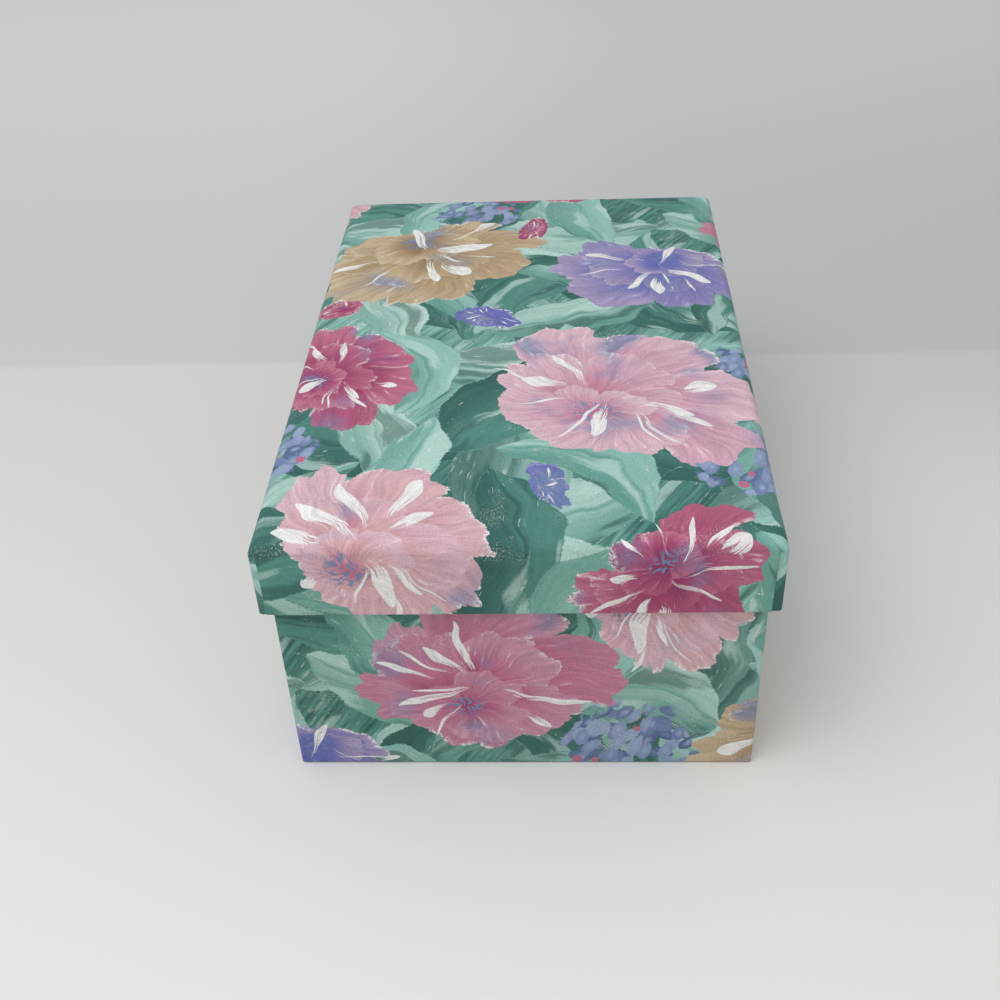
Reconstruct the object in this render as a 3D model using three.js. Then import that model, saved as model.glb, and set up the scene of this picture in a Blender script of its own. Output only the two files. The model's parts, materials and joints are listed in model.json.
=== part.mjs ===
// A cloth-covered jewelry chest of rigid board: a deep box, a lift-off lid whose rim
// slips down over it, and a lift-out tray with a ring bay and four compartments.
// Millimetres, +Z up. X runs left to right, Y from the front to the back.
// The origin is on the surface that the chest stands on, under the middle of the lid.
import * as THREE from "three";

// Overall sizes
const LID_WIDTH = 190;
const LID_DEPTH = 292;
const TOTAL_HEIGHT = 118;
const RIM_HEIGHT = 32;
const CROWN = 0.8;
const CROWN_RUN = 30;

// Sheet and board thicknesses
const BOARD = 1.8;
const CLOTH = 0.4;
const TAPE = 0.15;
const LINING = 0.3;
const BOTTOM_SHEET = 0.5;
const GLUE = 0.05;

// Lid
const EDGE_RADIUS = 4;
const CORNER_SOFTNESS_SHARE = 0.6;
const HEM_RADIUS = 0.5;
const LID_TURN_IN = 15;
const LID_FOLD_SETBACK = 3.2;
const LID_FOLD_SETBACK_LEFT = 1.7;
const LID_LINING_REVEAL = 3;
const WADDING = 3.6;
const SLIP = 0.8;
const SEAT_GAP = 0.1;

// Base
const BASE_TURN_IN = 16;
const BASE_TURN_UNDER = 12;
const BASE_LINING_REVEAL = 4;
const BASE_SHEET_REVEAL = 3;
const SEAM_LAP = 10;
const STAY_ARM = 12;
const TRAY_REST = 3;

// Tray
const TRAY_HEIGHT = 30;
const TRAY_DROP = 2;
const TRAY_GAP = 0.8;
const TRAY_BOARD = 1.5;
const TRAY_CLOTH = 0.3;
const TRAY_TURN_UNDER = 9;
const TRAY_PAD = 1;
const DIVIDER = 2;
const DIVIDER_HEIGHT = 22;
const DIVIDER_GAP = 0.3;
const RING_BAY = 92;
const REAR_DIVIDER_SHARE = 0.5;
const ROLL_DIAMETER = 14.6;
const ROLL_GAP = 0.4;
const ROLL_END_ROUND = 2.5;
const RIBBON_WIDTH = 14;
const RIBBON = 0.6;
const RIBBON_DROP = 20;
const RIBBON_BOW = 5;
const RIBBON_INSET = 1.5;

// How finely curves are stepped
const CORNER_STEPS = 4;
const EDGE_STEPS = 6;
const CROWN_STEPS = 4;
const ROLL_SIDES = 18;
const ROUND_STEPS = 3;
const LOOP_STEPS = 10;
const STEP_RUN = 0.05;

const QUARTER = Math.PI / 2;

function material(color, roughness, metalness = 0) {
  return new THREE.MeshStandardMaterial({ color, roughness, metalness });
}

const floralCloth = material(0x5f9a8c, 0.75);
const greyboard = material(0x9c9184, 0.9);
const kraftTape = material(0xb08b5e, 0.7);
const liningPaper = material(0xe3b8bd, 0.6);
const bottomPaper = material(0xe9e2d8, 0.8);
const waddingFelt = material(0xf3f1ec, 1);
const velvet = material(0xb86f86, 0.95);
const ribbonSilk = material(0x3d7f72, 0.5);

// The layers of the lid and the base, each as its inset from the outside of its own cloth
const clothBack = CLOTH;
const tapeFace = CLOTH + GLUE;
const tapeBack = tapeFace + TAPE;
const boardFace = tapeBack + GLUE;
const boardBack = boardFace + BOARD;
const turnFace = boardBack + GLUE;
const turnBack = turnFace + CLOTH;
const liningFace = turnBack + GLUE;
const liningBack = liningFace + LINING;
const lidToBase = liningBack + SLIP;

// Every layer outside the boards turns round the sharp upright corner of the boards.
const cornerRadius = boardFace;
const insideCornerRadius = TAPE;

const lidHalf = { x: LID_WIDTH / 2, y: LID_DEPTH / 2 - CLOTH, corner: cornerRadius };
const baseHalf = { x: lidHalf.x - lidToBase, y: lidHalf.y - lidToBase, corner: cornerRadius };
const trayOuter = liningBack + TRAY_GAP;
const trayBoardFace = TRAY_CLOTH + GLUE;
const trayHalf = {
  x: baseHalf.x - trayOuter,
  y: baseHalf.y - trayOuter,
  corner: trayBoardFace,
};

// Heights, from the lid's top down to the floor
const lidTop = TOTAL_HEIGHT - CROWN;
const lidBottom = lidTop - RIM_HEIGHT;
const waddingBottom = lidTop - CLOTH - GLUE - WADDING;
const topBoardTop = waddingBottom - GLUE;
const topBoardBottom = topBoardTop - BOARD;
const topLiningTop = topBoardBottom - GLUE;
const topLiningBottom = topLiningTop - LINING;
const baseTop = topLiningBottom - SEAT_GAP;
const wallTop = baseTop - CLOTH - GLUE;
const turnUnderBottom = BOTTOM_SHEET + GLUE;
const floorBottom = turnUnderBottom + CLOTH + GLUE;
const floorTop = floorBottom + BOARD;
const wallBottom = floorTop + GLUE;
const trayTop = baseTop - TRAY_DROP;
const trayBottom = trayTop - TRAY_HEIGHT;

// Where a wrapped layer runs, seen from above and taken anticlockwise. Each station is
// a corner or side share (x, y), a direction outwards (dx, dy), and how far a second
// layer of cloth lies on it there, from 0 to 1.
function planStations(laps = {}) {
  const stations = [];
  const side = (y, steps = []) => {
    for (const [share, lap] of steps) {
      stations.push({ x: -y * share, y, dx: 0, dy: y, lap });
    }
  };
  const corner = (x, y, startAngle) => {
    for (let i = 0; i <= CORNER_STEPS; i++) {
      const angle = startAngle + (QUARTER * i) / CORNER_STEPS;
      stations.push({ x, y, dx: Math.cos(angle), dy: Math.sin(angle), lap: 0 });
    }
  };
  corner(1, 1, 0);
  side(1, laps.back);
  corner(-1, 1, QUARTER);
  corner(-1, -1, 2 * QUARTER);
  side(-1, laps.front);
  corner(1, -1, 3 * QUARTER);
  return stations;
}

// A side's folded edge: a step up to the second layer at one share of the side, and
// down again at the other.
function lapBetween(from, to, half) {
  const run = STEP_RUN / half;
  return [
    [from - run, 0],
    [from, 1],
    [to, 1],
    [to + run, 0],
  ];
}

// A layer wrapped round the rectangle of half sizes half. The profile lists points as
// an inset from the rectangle, a height, a corner radius and a share of the lap. It
// runs down the outside. A closed profile makes a ring, and an open one is capped
// across the middle at both ends.
function wrapped(half, stations, profile, closed) {
  const positions = [];
  const index = [];
  const count = stations.length;
  for (const { inset, z, radius, lap = 0 } of profile) {
    const round = radius ?? Math.max(half.corner - inset, insideCornerRadius);
    for (const s of stations) {
      const out = round + s.lap * lap * CLOTH;
      positions.push(
        s.x * (half.x - inset - round) + s.dx * out,
        s.y * (half.y - inset - round) + s.dy * out,
        z,
      );
    }
  }
  const rings = closed ? profile.length : profile.length - 1;
  for (let k = 0; k < rings; k++) {
    const upper = k * count;
    const lower = ((k + 1) % profile.length) * count;
    for (let j = 0; j < count; j++) {
      const next = (j + 1) % count;
      index.push(upper + j, lower + j, lower + next);
      index.push(upper + j, lower + next, upper + next);
    }
  }
  if (!closed) {
    const last = (profile.length - 1) * count;
    const topMiddle = positions.length / 3;
    positions.push(0, 0, profile[0].z, 0, 0, profile.at(-1).z);
    for (let j = 0; j < count; j++) {
      const next = (j + 1) % count;
      index.push(topMiddle, j, next);
      index.push(topMiddle + 1, last + next, last + j);
    }
  }
  const geometry = new THREE.BufferGeometry();
  geometry.setAttribute("position", new THREE.Float32BufferAttribute(positions, 3));
  geometry.setIndex(index);
  geometry.computeVertexNormals();
  return geometry;
}

// A quarter turn of a profile about the point at inset and z, from one angle to another,
// with 0 pointing outwards and a quarter turn pointing up.
function arc(inset, z, radius, from, to, steps, rest = {}) {
  return Array.from({ length: steps + 1 }, (_, i) => {
    const angle = from + ((to - from) * i) / steps;
    return {
      inset: inset - radius * Math.cos(angle),
      z: z + radius * Math.sin(angle),
      ...rest,
    };
  });
}

// The crowned top of the lid from its middle to the start of its rounded edge. depth is
// how far the layer lies below the outside of the cloth.
function crownProfile(depth) {
  return Array.from({ length: CROWN_STEPS }, (_, i) => {
    const share = 1 - i / CROWN_STEPS;
    const rise = CROWN * share * share * (3 - 2 * share);
    return {
      inset: EDGE_RADIUS + (CROWN_RUN - EDGE_RADIUS) * share,
      z: lidTop - depth + rise,
    };
  });
}

// The wadding softens the lid's upper corners: the further in from the edge, the rounder.
function softened(points, depth) {
  return points.map((point) => ({
    ...point,
    radius: cornerRadius - depth + (point.inset - depth) * CORNER_SOFTNESS_SHARE,
  }));
}

// The lid's top layer from its middle to the foot of its rounded edge
function softTop(depth, round) {
  const edge = arc(EDGE_RADIUS, lidTop - EDGE_RADIUS, round, QUARTER, 0, EDGE_STEPS);
  return softened([...crownProfile(depth), ...edge], depth);
}

function lidClothGeometry() {
  const outsideBottom = lidBottom + HEM_RADIUS;
  const hemTop = lidBottom + CLOTH;
  const turnTop = lidBottom + LID_TURN_IN;
  const profile = [
    ...softTop(0, EDGE_RADIUS),
    { inset: 0, z: lidTop - EDGE_RADIUS - CLOTH, lap: 1 },
    ...arc(HEM_RADIUS, outsideBottom, HEM_RADIUS, 0, -QUARTER, ROUND_STEPS, { lap: 1 }),
    { inset: turnBack - HEM_RADIUS, z: lidBottom },
    { inset: turnBack, z: outsideBottom },
    { inset: turnBack, z: turnTop },
    { inset: turnFace, z: turnTop },
    { inset: turnFace, z: hemTop },
    { inset: clothBack, z: hemTop },
    ...softTop(CLOTH, EDGE_RADIUS - CLOTH).reverse(),
  ];
  const sideLength = lidHalf.x - cornerRadius;
  const right = (lidHalf.x - LID_FOLD_SETBACK) / sideLength;
  const left = (lidHalf.x - LID_FOLD_SETBACK_LEFT) / sideLength;
  const stations = planStations({
    front: lapBetween(-left, right, sideLength),
    back: lapBetween(-right, left, sideLength),
  });
  return wrapped(lidHalf, stations, profile, false);
}

function waddingGeometry() {
  const layer = softTop(CLOTH + GLUE, EDGE_RADIUS - boardFace);
  const profile = [...layer, { ...layer.at(-1), z: waddingBottom }];
  return wrapped(lidHalf, planStations(), profile, false);
}

function baseClothGeometry() {
  const hemOutside = turnUnderBottom + HEM_RADIUS;
  const rimShoulder = baseTop - HEM_RADIUS;
  const turnEnd = baseTop - BASE_TURN_IN;
  const underTop = turnUnderBottom + CLOTH;
  const profile = [
    ...arc(HEM_RADIUS, rimShoulder, HEM_RADIUS, QUARTER, 0, ROUND_STEPS, { lap: 1 }),
    ...arc(HEM_RADIUS, hemOutside, HEM_RADIUS, 0, -QUARTER, ROUND_STEPS, { lap: 1 }),
    { inset: BASE_TURN_UNDER, z: turnUnderBottom },
    { inset: BASE_TURN_UNDER, z: underTop },
    { inset: clothBack, z: underTop },
    { inset: clothBack, z: baseTop - CLOTH },
    { inset: turnFace, z: baseTop - CLOTH },
    { inset: turnFace, z: turnEnd },
    { inset: turnBack, z: turnEnd },
    { inset: turnBack, z: rimShoulder },
    { inset: turnBack - HEM_RADIUS, z: baseTop },
  ];
  const sideLength = baseHalf.x - cornerRadius;
  const seam = (baseHalf.x - SEAM_LAP) / sideLength;
  const run = STEP_RUN / sideLength;
  const stations = planStations({
    back: [
      [-1 + run, 1],
      [-seam, 1],
      [-seam + run, 0],
    ],
  });
  return wrapped(baseHalf, stations, profile, true);
}

function trayClothGeometry() {
  const inner = TRAY_CLOTH + GLUE + TRAY_BOARD + GLUE;
  const innerBack = inner + TRAY_CLOTH;
  const topInside = trayTop - TRAY_CLOTH;
  const underTop = trayBottom + TRAY_CLOTH;
  const feltTop = trayFloorTop + GLUE + TRAY_PAD + GLUE;
  const profile = [
    { inset: HEM_RADIUS, z: trayTop },
    { inset: 0, z: trayTop - HEM_RADIUS },
    { inset: 0, z: trayBottom },
    { inset: TRAY_TURN_UNDER, z: trayBottom },
    { inset: TRAY_TURN_UNDER, z: underTop },
    { inset: TRAY_CLOTH, z: underTop },
    { inset: TRAY_CLOTH, z: topInside },
    { inset: inner, z: topInside },
    { inset: inner, z: feltTop },
    { inset: innerBack, z: feltTop },
    { inset: innerBack, z: trayTop - HEM_RADIUS },
    { inset: innerBack - HEM_RADIUS, z: trayTop },
  ];
  return wrapped(trayHalf, planStations(), profile, true);
}

// A flat ring of sheet between two insets and two heights
function sheetRing(half, outer, inner, bottom, top) {
  const profile = [
    { inset: outer, z: top },
    { inset: outer, z: bottom },
    { inset: inner, z: bottom },
    { inset: inner, z: top },
  ];
  return wrapped(half, planStations(), profile, true);
}

const chest = new THREE.Group();
chest.name = "jewelry_chest";

function add(group, name, geometry, finish) {
  const mesh = new THREE.Mesh(geometry, finish);
  mesh.name = name;
  group.add(mesh);
  return mesh;
}

// A flat-sided panel between two corners
function panel(group, name, finish, low, high) {
  const size = high.map((value, axis) => value - low[axis]);
  const mesh = add(group, name, new THREE.BoxGeometry(...size), finish);
  mesh.position.set(...low.map((value, axis) => value + size[axis] / 2));
  return mesh;
}

// Four boards on edge, butted at the corners: the front and back run the full width,
// and the two sides stand between them.
function fourWalls(group, prefix, finish, half, outer, thickness, bottom, top) {
  const x = half.x - outer;
  const y = half.y - outer;
  const gap = thickness + GLUE;
  panel(group, prefix + "_front", finish, [-x, -y, bottom], [x, -y + thickness, top]);
  panel(group, prefix + "_back", finish, [-x, y - thickness, bottom], [x, y, top]);
  panel(group, prefix + "_left", finish, [-x, gap - y, bottom], [thickness - x, y - gap, top]);
  panel(group, prefix + "_right", finish, [x - thickness, gap - y, bottom], [x, y - gap, top]);
}

// The gummed paper angle that ties two boards together outside each corner
function cornerStays(group, prefix, half, bottom, top) {
  const insideRound = cornerRadius - tapeBack;
  const outsideRound = cornerRadius - tapeFace;
  const angle = new THREE.Shape();
  angle.moveTo(-STAY_ARM, insideRound);
  angle.lineTo(0, insideRound);
  angle.absarc(0, 0, insideRound, QUARTER, 0, true);
  angle.lineTo(insideRound, -STAY_ARM);
  angle.lineTo(outsideRound, -STAY_ARM);
  angle.lineTo(outsideRound, 0);
  angle.absarc(0, 0, outsideRound, 0, QUARTER, false);
  angle.lineTo(-STAY_ARM, outsideRound);
  const options = { depth: top - bottom, bevelEnabled: false, curveSegments: CORNER_STEPS };
  const geometry = new THREE.ExtrudeGeometry(angle, options);
  const corners = [
    ["back_right", 1, 1, 0],
    ["back_left", -1, 1, QUARTER],
    ["front_left", -1, -1, 2 * QUARTER],
    ["front_right", 1, -1, 3 * QUARTER],
  ];
  for (const [place, x, y, turn] of corners) {
    const stay = add(group, prefix + "_" + place, geometry, kraftTape);
    stay.position.set(x * (half.x - boardFace), y * (half.y - boardFace), bottom);
    stay.rotation.z = turn;
  }
}

// The lid
const lid = new THREE.Group();
chest.add(lid);
const rimBoardBottom = lidBottom + CLOTH + GLUE;
const lidBoardX = lidHalf.x - boardFace;
const lidBoardY = lidHalf.y - boardFace;
add(lid, "lid_cover_cloth", lidClothGeometry(), floralCloth);
add(lid, "lid_wadding", waddingGeometry(), waddingFelt);
panel(
  lid,
  "lid_top_board",
  greyboard,
  [-lidBoardX, -lidBoardY, topBoardBottom],
  [lidBoardX, lidBoardY, topBoardTop],
);
fourWalls(
  lid,
  "lid_rim_board",
  greyboard,
  lidHalf,
  boardFace,
  BOARD,
  rimBoardBottom,
  topBoardBottom - GLUE,
);
cornerStays(lid, "lid_corner_stay", lidHalf, rimBoardBottom, topBoardBottom);
add(
  lid,
  "lid_rim_lining",
  sheetRing(
    lidHalf,
    liningFace,
    liningBack,
    lidBottom + LID_LINING_REVEAL,
    topLiningBottom - GLUE,
  ),
  liningPaper,
);
const lidLiningX = lidHalf.x - boardBack - GLUE;
const lidLiningY = lidHalf.y - boardBack - GLUE;
panel(
  lid,
  "lid_top_lining",
  liningPaper,
  [-lidLiningX, -lidLiningY, topLiningBottom],
  [lidLiningX, lidLiningY, topLiningTop],
);

// The base
const base = new THREE.Group();
chest.add(base);
const baseBoardX = baseHalf.x - boardFace;
const baseBoardY = baseHalf.y - boardFace;
const sheetX = baseHalf.x - BASE_SHEET_REVEAL;
const sheetY = baseHalf.y - BASE_SHEET_REVEAL;
add(base, "base_cover_cloth", baseClothGeometry(), floralCloth);
panel(
  base,
  "base_bottom_sheet",
  bottomPaper,
  [-sheetX, -sheetY, 0],
  [sheetX, sheetY, BOTTOM_SHEET],
);
panel(
  base,
  "base_floor_board",
  greyboard,
  [-baseBoardX, -baseBoardY, floorBottom],
  [baseBoardX, baseBoardY, floorTop],
);
fourWalls(base, "base_wall_board", greyboard, baseHalf, boardFace, BOARD, wallBottom, wallTop);
cornerStays(base, "base_corner_stay", baseHalf, floorBottom, wallTop);
const floorLiningTop = wallBottom + LINING;
const floorLiningX = baseHalf.x - liningFace;
const floorLiningY = baseHalf.y - liningFace;
panel(
  base,
  "base_floor_lining",
  liningPaper,
  [-floorLiningX, -floorLiningY, wallBottom],
  [floorLiningX, floorLiningY, floorLiningTop],
);
const aboveFloorLining = floorLiningTop + GLUE;
add(
  base,
  "base_wall_lining",
  sheetRing(
    baseHalf,
    liningFace,
    liningBack,
    aboveFloorLining,
    baseTop - BASE_LINING_REVEAL,
  ),
  liningPaper,
);
fourWalls(
  base,
  "tray_rest",
  liningPaper,
  baseHalf,
  liningBack + GLUE,
  TRAY_REST,
  aboveFloorLining,
  trayBottom - GLUE,
);

// The tray
const tray = new THREE.Group();
chest.add(tray);
const trayFloorBottom = trayBottom + TRAY_CLOTH + GLUE;
const trayFloorTop = trayFloorBottom + TRAY_BOARD;
const trayInside = trayBoardFace + TRAY_BOARD + GLUE + TRAY_CLOTH;
const trayBoardX = trayHalf.x - trayBoardFace;
const trayBoardY = trayHalf.y - trayBoardFace;
const insideX = trayHalf.x - trayInside;
const insideY = trayHalf.y - trayInside;
add(tray, "tray_cover_cloth", trayClothGeometry(), velvet);
panel(
  tray,
  "tray_floor_board",
  greyboard,
  [-trayBoardX, -trayBoardY, trayFloorBottom],
  [trayBoardX, trayBoardY, trayFloorTop],
);
fourWalls(
  tray,
  "tray_wall_board",
  greyboard,
  trayHalf,
  trayBoardFace,
  TRAY_BOARD,
  trayFloorTop + GLUE,
  trayTop - TRAY_CLOTH - GLUE,
);
const padBottom = trayFloorTop + GLUE;
const padTop = padBottom + TRAY_PAD;
const padX = trayHalf.x - trayBoardFace - TRAY_BOARD - GLUE;
const padY = trayHalf.y - trayBoardFace - TRAY_BOARD - GLUE;
panel(tray, "tray_floor_pad", velvet, [-padX, -padY, padBottom], [padX, padY, padTop]);

// The dividers. The one between the rear compartments crosses the long one in a pair of
// half-height notches, so that each drops over the other.
const dividerBottom = padTop + DIVIDER_GAP;
const dividerTop = dividerBottom + DIVIDER_HEIGHT;
const dividerEndX = insideX - DIVIDER_GAP;
const bayBack = -insideY + RING_BAY;
const longFront = bayBack + DIVIDER + DIVIDER_GAP;
const longBack = insideY - DIVIDER_GAP;
const crossing = longFront + (longBack - longFront) * REAR_DIVIDER_SHARE;
panel(
  tray,
  "tray_divider_ring_bay",
  velvet,
  [-dividerEndX, bayBack, dividerBottom],
  [dividerEndX, bayBack + DIVIDER, dividerTop],
);

// A board seen from its side, with a notch over half its height at the place of another
function notchedDivider(start, end, notchAt, notchFromTop) {
  const notchHalf = DIVIDER / 2 + DIVIDER_GAP;
  const middle = DIVIDER_HEIGHT / 2;
  const shape = new THREE.Shape();
  shape.moveTo(start, 0);
  if (!notchFromTop) {
    shape.lineTo(notchAt - notchHalf, 0);
    shape.lineTo(notchAt - notchHalf, middle + DIVIDER_GAP / 2);
    shape.lineTo(notchAt + notchHalf, middle + DIVIDER_GAP / 2);
    shape.lineTo(notchAt + notchHalf, 0);
  }
  shape.lineTo(end, 0);
  shape.lineTo(end, DIVIDER_HEIGHT);
  if (notchFromTop) {
    shape.lineTo(notchAt + notchHalf, DIVIDER_HEIGHT);
    shape.lineTo(notchAt + notchHalf, middle - DIVIDER_GAP / 2);
    shape.lineTo(notchAt - notchHalf, middle - DIVIDER_GAP / 2);
    shape.lineTo(notchAt - notchHalf, DIVIDER_HEIGHT);
  }
  shape.lineTo(start, DIVIDER_HEIGHT);
  const geometry = new THREE.ExtrudeGeometry(shape, { depth: DIVIDER, bevelEnabled: false });
  geometry.rotateX(QUARTER);
  return geometry;
}

const rearDivider = add(
  tray,
  "tray_divider_rear",
  notchedDivider(-dividerEndX, dividerEndX, 0, false),
  velvet,
);
rearDivider.position.set(0, crossing + DIVIDER / 2, dividerBottom);
const longDivider = add(
  tray,
  "tray_divider_long",
  notchedDivider(longFront, longBack, crossing, true),
  velvet,
);
longDivider.rotation.z = QUARTER;
longDivider.position.set(-DIVIDER / 2, 0, dividerBottom);

// The ring bay holds padded rolls, side by side, that grip ring bands between them.
const rollRadius = ROLL_DIAMETER / 2;
const rollPitch = ROLL_DIAMETER + ROLL_GAP;
const rollCount = Math.floor((RING_BAY - ROLL_GAP) / rollPitch);
const rollHalf = insideX - DIVIDER_GAP;
const bayMiddle = -insideY + RING_BAY / 2;

function rollGeometry() {
  const end = (sign) =>
    Array.from({ length: ROUND_STEPS + 1 }, (_, i) => {
      const angle = (QUARTER * i) / ROUND_STEPS;
      return new THREE.Vector2(
        rollRadius - ROLL_END_ROUND + ROLL_END_ROUND * Math.sin(angle),
        sign * (rollHalf - ROLL_END_ROUND + ROLL_END_ROUND * Math.cos(angle)),
      );
    });
  const outline = [
    new THREE.Vector2(0, -rollHalf),
    ...end(-1),
    ...end(1).reverse(),
    new THREE.Vector2(0, rollHalf),
  ];
  return new THREE.LatheGeometry(outline, ROLL_SIDES);
}

for (let i = 0; i < rollCount; i++) {
  const roll = add(tray, "ring_roll_" + (i + 1), rollGeometry(), velvet);
  roll.rotation.z = QUARTER;
  const y = bayMiddle + (i - (rollCount - 1) / 2) * rollPitch;
  roll.position.set(0, y, padTop + DIVIDER_GAP + rollRadius);
}

// A ribbon loop on each side wall of the tray, to lift it by. It hangs from the wall's top
// edge into the compartment behind the ring bay.
function ribbonGeometry() {
  const line = (depth) => {
    const bow = RIBBON_BOW - depth;
    const bottom = RIBBON_DROP - depth;
    return Array.from({ length: LOOP_STEPS + 1 }, (_, i) => {
      const angle = (2 * QUARTER * i) / LOOP_STEPS;
      const fall = depth + ((bottom - depth) * (1 - Math.cos(angle))) / 2;
      return new THREE.Vector2(bow * Math.sin(angle), -fall);
    });
  };
  const shape = new THREE.Shape([...line(0), ...line(RIBBON).reverse()]);
  const options = { depth: RIBBON_WIDTH, bevelEnabled: false };
  const geometry = new THREE.ExtrudeGeometry(shape, options);
  geometry.rotateX(QUARTER);
  geometry.translate(0, RIBBON_WIDTH / 2, 0);
  return geometry;
}

const ribbonX = insideX - DIVIDER_GAP;
const ribbonY = (longFront + crossing) / 2;
for (const [place, x, turn] of [
  ["left", -ribbonX, 0],
  ["right", ribbonX, 2 * QUARTER],
]) {
  const ribbon = add(tray, "tray_ribbon_" + place, ribbonGeometry(), ribbonSilk);
  ribbon.rotation.z = turn;
  ribbon.position.set(x, ribbonY, trayTop - RIBBON_INSET);
}

export default chest;
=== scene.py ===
"""Looks of a cloth-covered jewelry chest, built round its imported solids.

Metres, +Z up, the front towards -Y. Each printed cloth and each ribbon carries an attribute
named cloth: the place, in metres, of each point on the flat cloth before it was folded. The
print, the weave and the bump all read that place.
"""

import json
import math

import bmesh
import bpy
import numpy as np
from mathutils import Matrix, Vector, noise


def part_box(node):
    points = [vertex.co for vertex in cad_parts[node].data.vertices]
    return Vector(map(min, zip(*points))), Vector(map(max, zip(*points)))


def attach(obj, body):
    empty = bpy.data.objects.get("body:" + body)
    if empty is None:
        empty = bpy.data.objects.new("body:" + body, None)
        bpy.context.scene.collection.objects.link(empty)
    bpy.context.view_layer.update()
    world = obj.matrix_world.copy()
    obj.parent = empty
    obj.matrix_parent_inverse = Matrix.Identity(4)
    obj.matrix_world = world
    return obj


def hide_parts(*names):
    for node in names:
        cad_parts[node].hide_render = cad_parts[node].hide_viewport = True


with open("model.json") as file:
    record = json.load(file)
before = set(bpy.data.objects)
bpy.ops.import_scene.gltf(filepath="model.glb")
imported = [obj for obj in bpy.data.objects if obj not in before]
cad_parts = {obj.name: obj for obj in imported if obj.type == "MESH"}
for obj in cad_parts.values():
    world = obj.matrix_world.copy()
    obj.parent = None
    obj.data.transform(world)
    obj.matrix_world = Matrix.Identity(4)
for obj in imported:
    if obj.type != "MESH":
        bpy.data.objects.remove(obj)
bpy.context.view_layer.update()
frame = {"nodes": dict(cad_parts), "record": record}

# A millimetre in metres, and a quarter turn in radians
MM = 0.001
QUARTER = math.pi / 2

# Camera, from the eight visible corners of the chest in a picture of 1000 by 1000
CAMERA_PLACE = Vector((17.9, -489.1, 396.1)) * MM
CAMERA_PITCH = -0.6463
CAMERA_YAW = 0.0347
CAMERA_ROLL = 0.0401
CAMERA_LENS = 45.83
CAMERA_SENSOR = 36

# Cloth and layers, as in the solids
CLOTH = 0.4 * MM
GLUE = 0.05 * MM
TAPE = 0.15 * MM
BOARD = 1.8 * MM
BOARD_FACE = CLOTH + GLUE + TAPE + GLUE
TURN_FACE = BOARD_FACE + BOARD + GLUE
TURN_BACK = TURN_FACE + CLOTH

# Lid cloth
EDGE_RADIUS = 4.6 * MM
CROWN = 0.8 * MM
CROWN_RUN = 30 * MM
LID_TURN_IN = 15 * MM
LID_CORNER = 1.3 * MM
CORNER_SOFTNESS_SHARE = 0.6
LARGEST_RADIUS_SHARE = 0.9
HEM_RADIUS = 0.5 * MM
RIM_START = 0.5 * MM
TURN_CORNER = 0.15 * MM
FOLD_RISE = 0.55 * MM
FOLD_RUN = 0.12 * MM
FOLD_SETBACK = 2.7 * MM
FOLD_SETBACK_TOP = 1.9 * MM
TIGHT_SETBACK = 1.45 * MM
TIGHT_RISE_SHARE = 0.35
TUCK_DROP = 3 * MM
PINCH_DROP = 4.4 * MM
PINCH_REACH = 1.1 * MM
PINCH_DEPTH = 0.7 * MM
PUCKER_RUN = 12 * MM
PUCKER_PLACE = 8 * MM
PUCKER_DROP = 9 * MM
PUCKER_WIDTH = 1.5 * MM
PUCKER_HEIGHT = 4 * MM
PUCKER_DEPTH = 0.5 * MM
RIPPLE = 0.18 * MM
RIPPLE_SIZE = 38 * MM
RIM_RIPPLE_SHARE = 0.5
RIPPLE_FADE = 10 * MM

# Base cloth
BASE_SHIFT = Vector((150, 60, 0)) * MM
BASE_RIPPLE_SHARE = 0.5
BASE_CORNER = 1 * MM
BASE_TURN_IN = 16 * MM
BASE_TURN_UNDER = 12 * MM
SEAM_LAP = 10 * MM

# Tray
TRAY_CLOTH = 0.3 * MM
TRAY_BOARD = 1.5 * MM
TRAY_TURN_UNDER = 9 * MM
TRAY_INNER = TRAY_CLOTH + GLUE + TRAY_BOARD + GLUE
PAD_ROUND = 0.4 * MM
PAD_SINK = 0.15 * MM
PAD_WAVE = 2.5 * MM
NOTCH_GAP = 0.3 * MM
DIVIDER_ROUND = 0.75 * MM
DIVIDER_ROUND_STEPS = 3
DIVIDER_BULGE_SHARE = 0.6
ROLL_COUNT = 6
ROLL_PLEATS = 14
ROLL_PLEAT_DEPTH = 0.28 * MM
ROLL_PLEAT_SHARE = 0.25
ROLL_END_RUN = 2 * MM
ROLL_SWELL = 0.25 * MM
ROLL_SWELL_SIZE = 9 * MM
RIBBON = 0.45 * MM
RIBBON_CAMBER = 0.35 * MM
RIBBON_EDGE = 0.12 * MM
RIBBON_RIM_SHARE = 0.14

# A roll's gathered end: how far in, share of the radius and share of the pleats' depth
ROLL_END = [
    (0.9 * MM, 0.12, 0.2), (0.3 * MM, 0.3, 0.6), (0, 0.55, 1), (0.1 * MM, 0.78, 1),
    (0.9 * MM, 0.93, 0.8),
]

# How finely each form is stepped. The lid's top goes from its middle outwards
MIDDLE_GAP = 1 * MM
CROWN_START = 10 * MM
CROWN_PITCH = 7 * MM
CROWN_STOP = 8 * MM
CROWN_END = 6 * MM
SIDE_PITCH = 5 * MM
CORNER_STEPS = 6
EDGE_STEPS = 8
HEM_STEPS = 4
SEAM_STEPS = 4
PAD_STEPS = 6
PUCKER_STEPS = 16
ROLL_STEPS = 56
RIBBON_STEPS = 15
LAP_ROWS = 3
RIM_ROWS = 22
WALL_ROWS = 18
PAD_ROWS = 14
WADDING_ROWS = 16
ROLL_ROWS = 40
RIBBON_ROWS = 29

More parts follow.
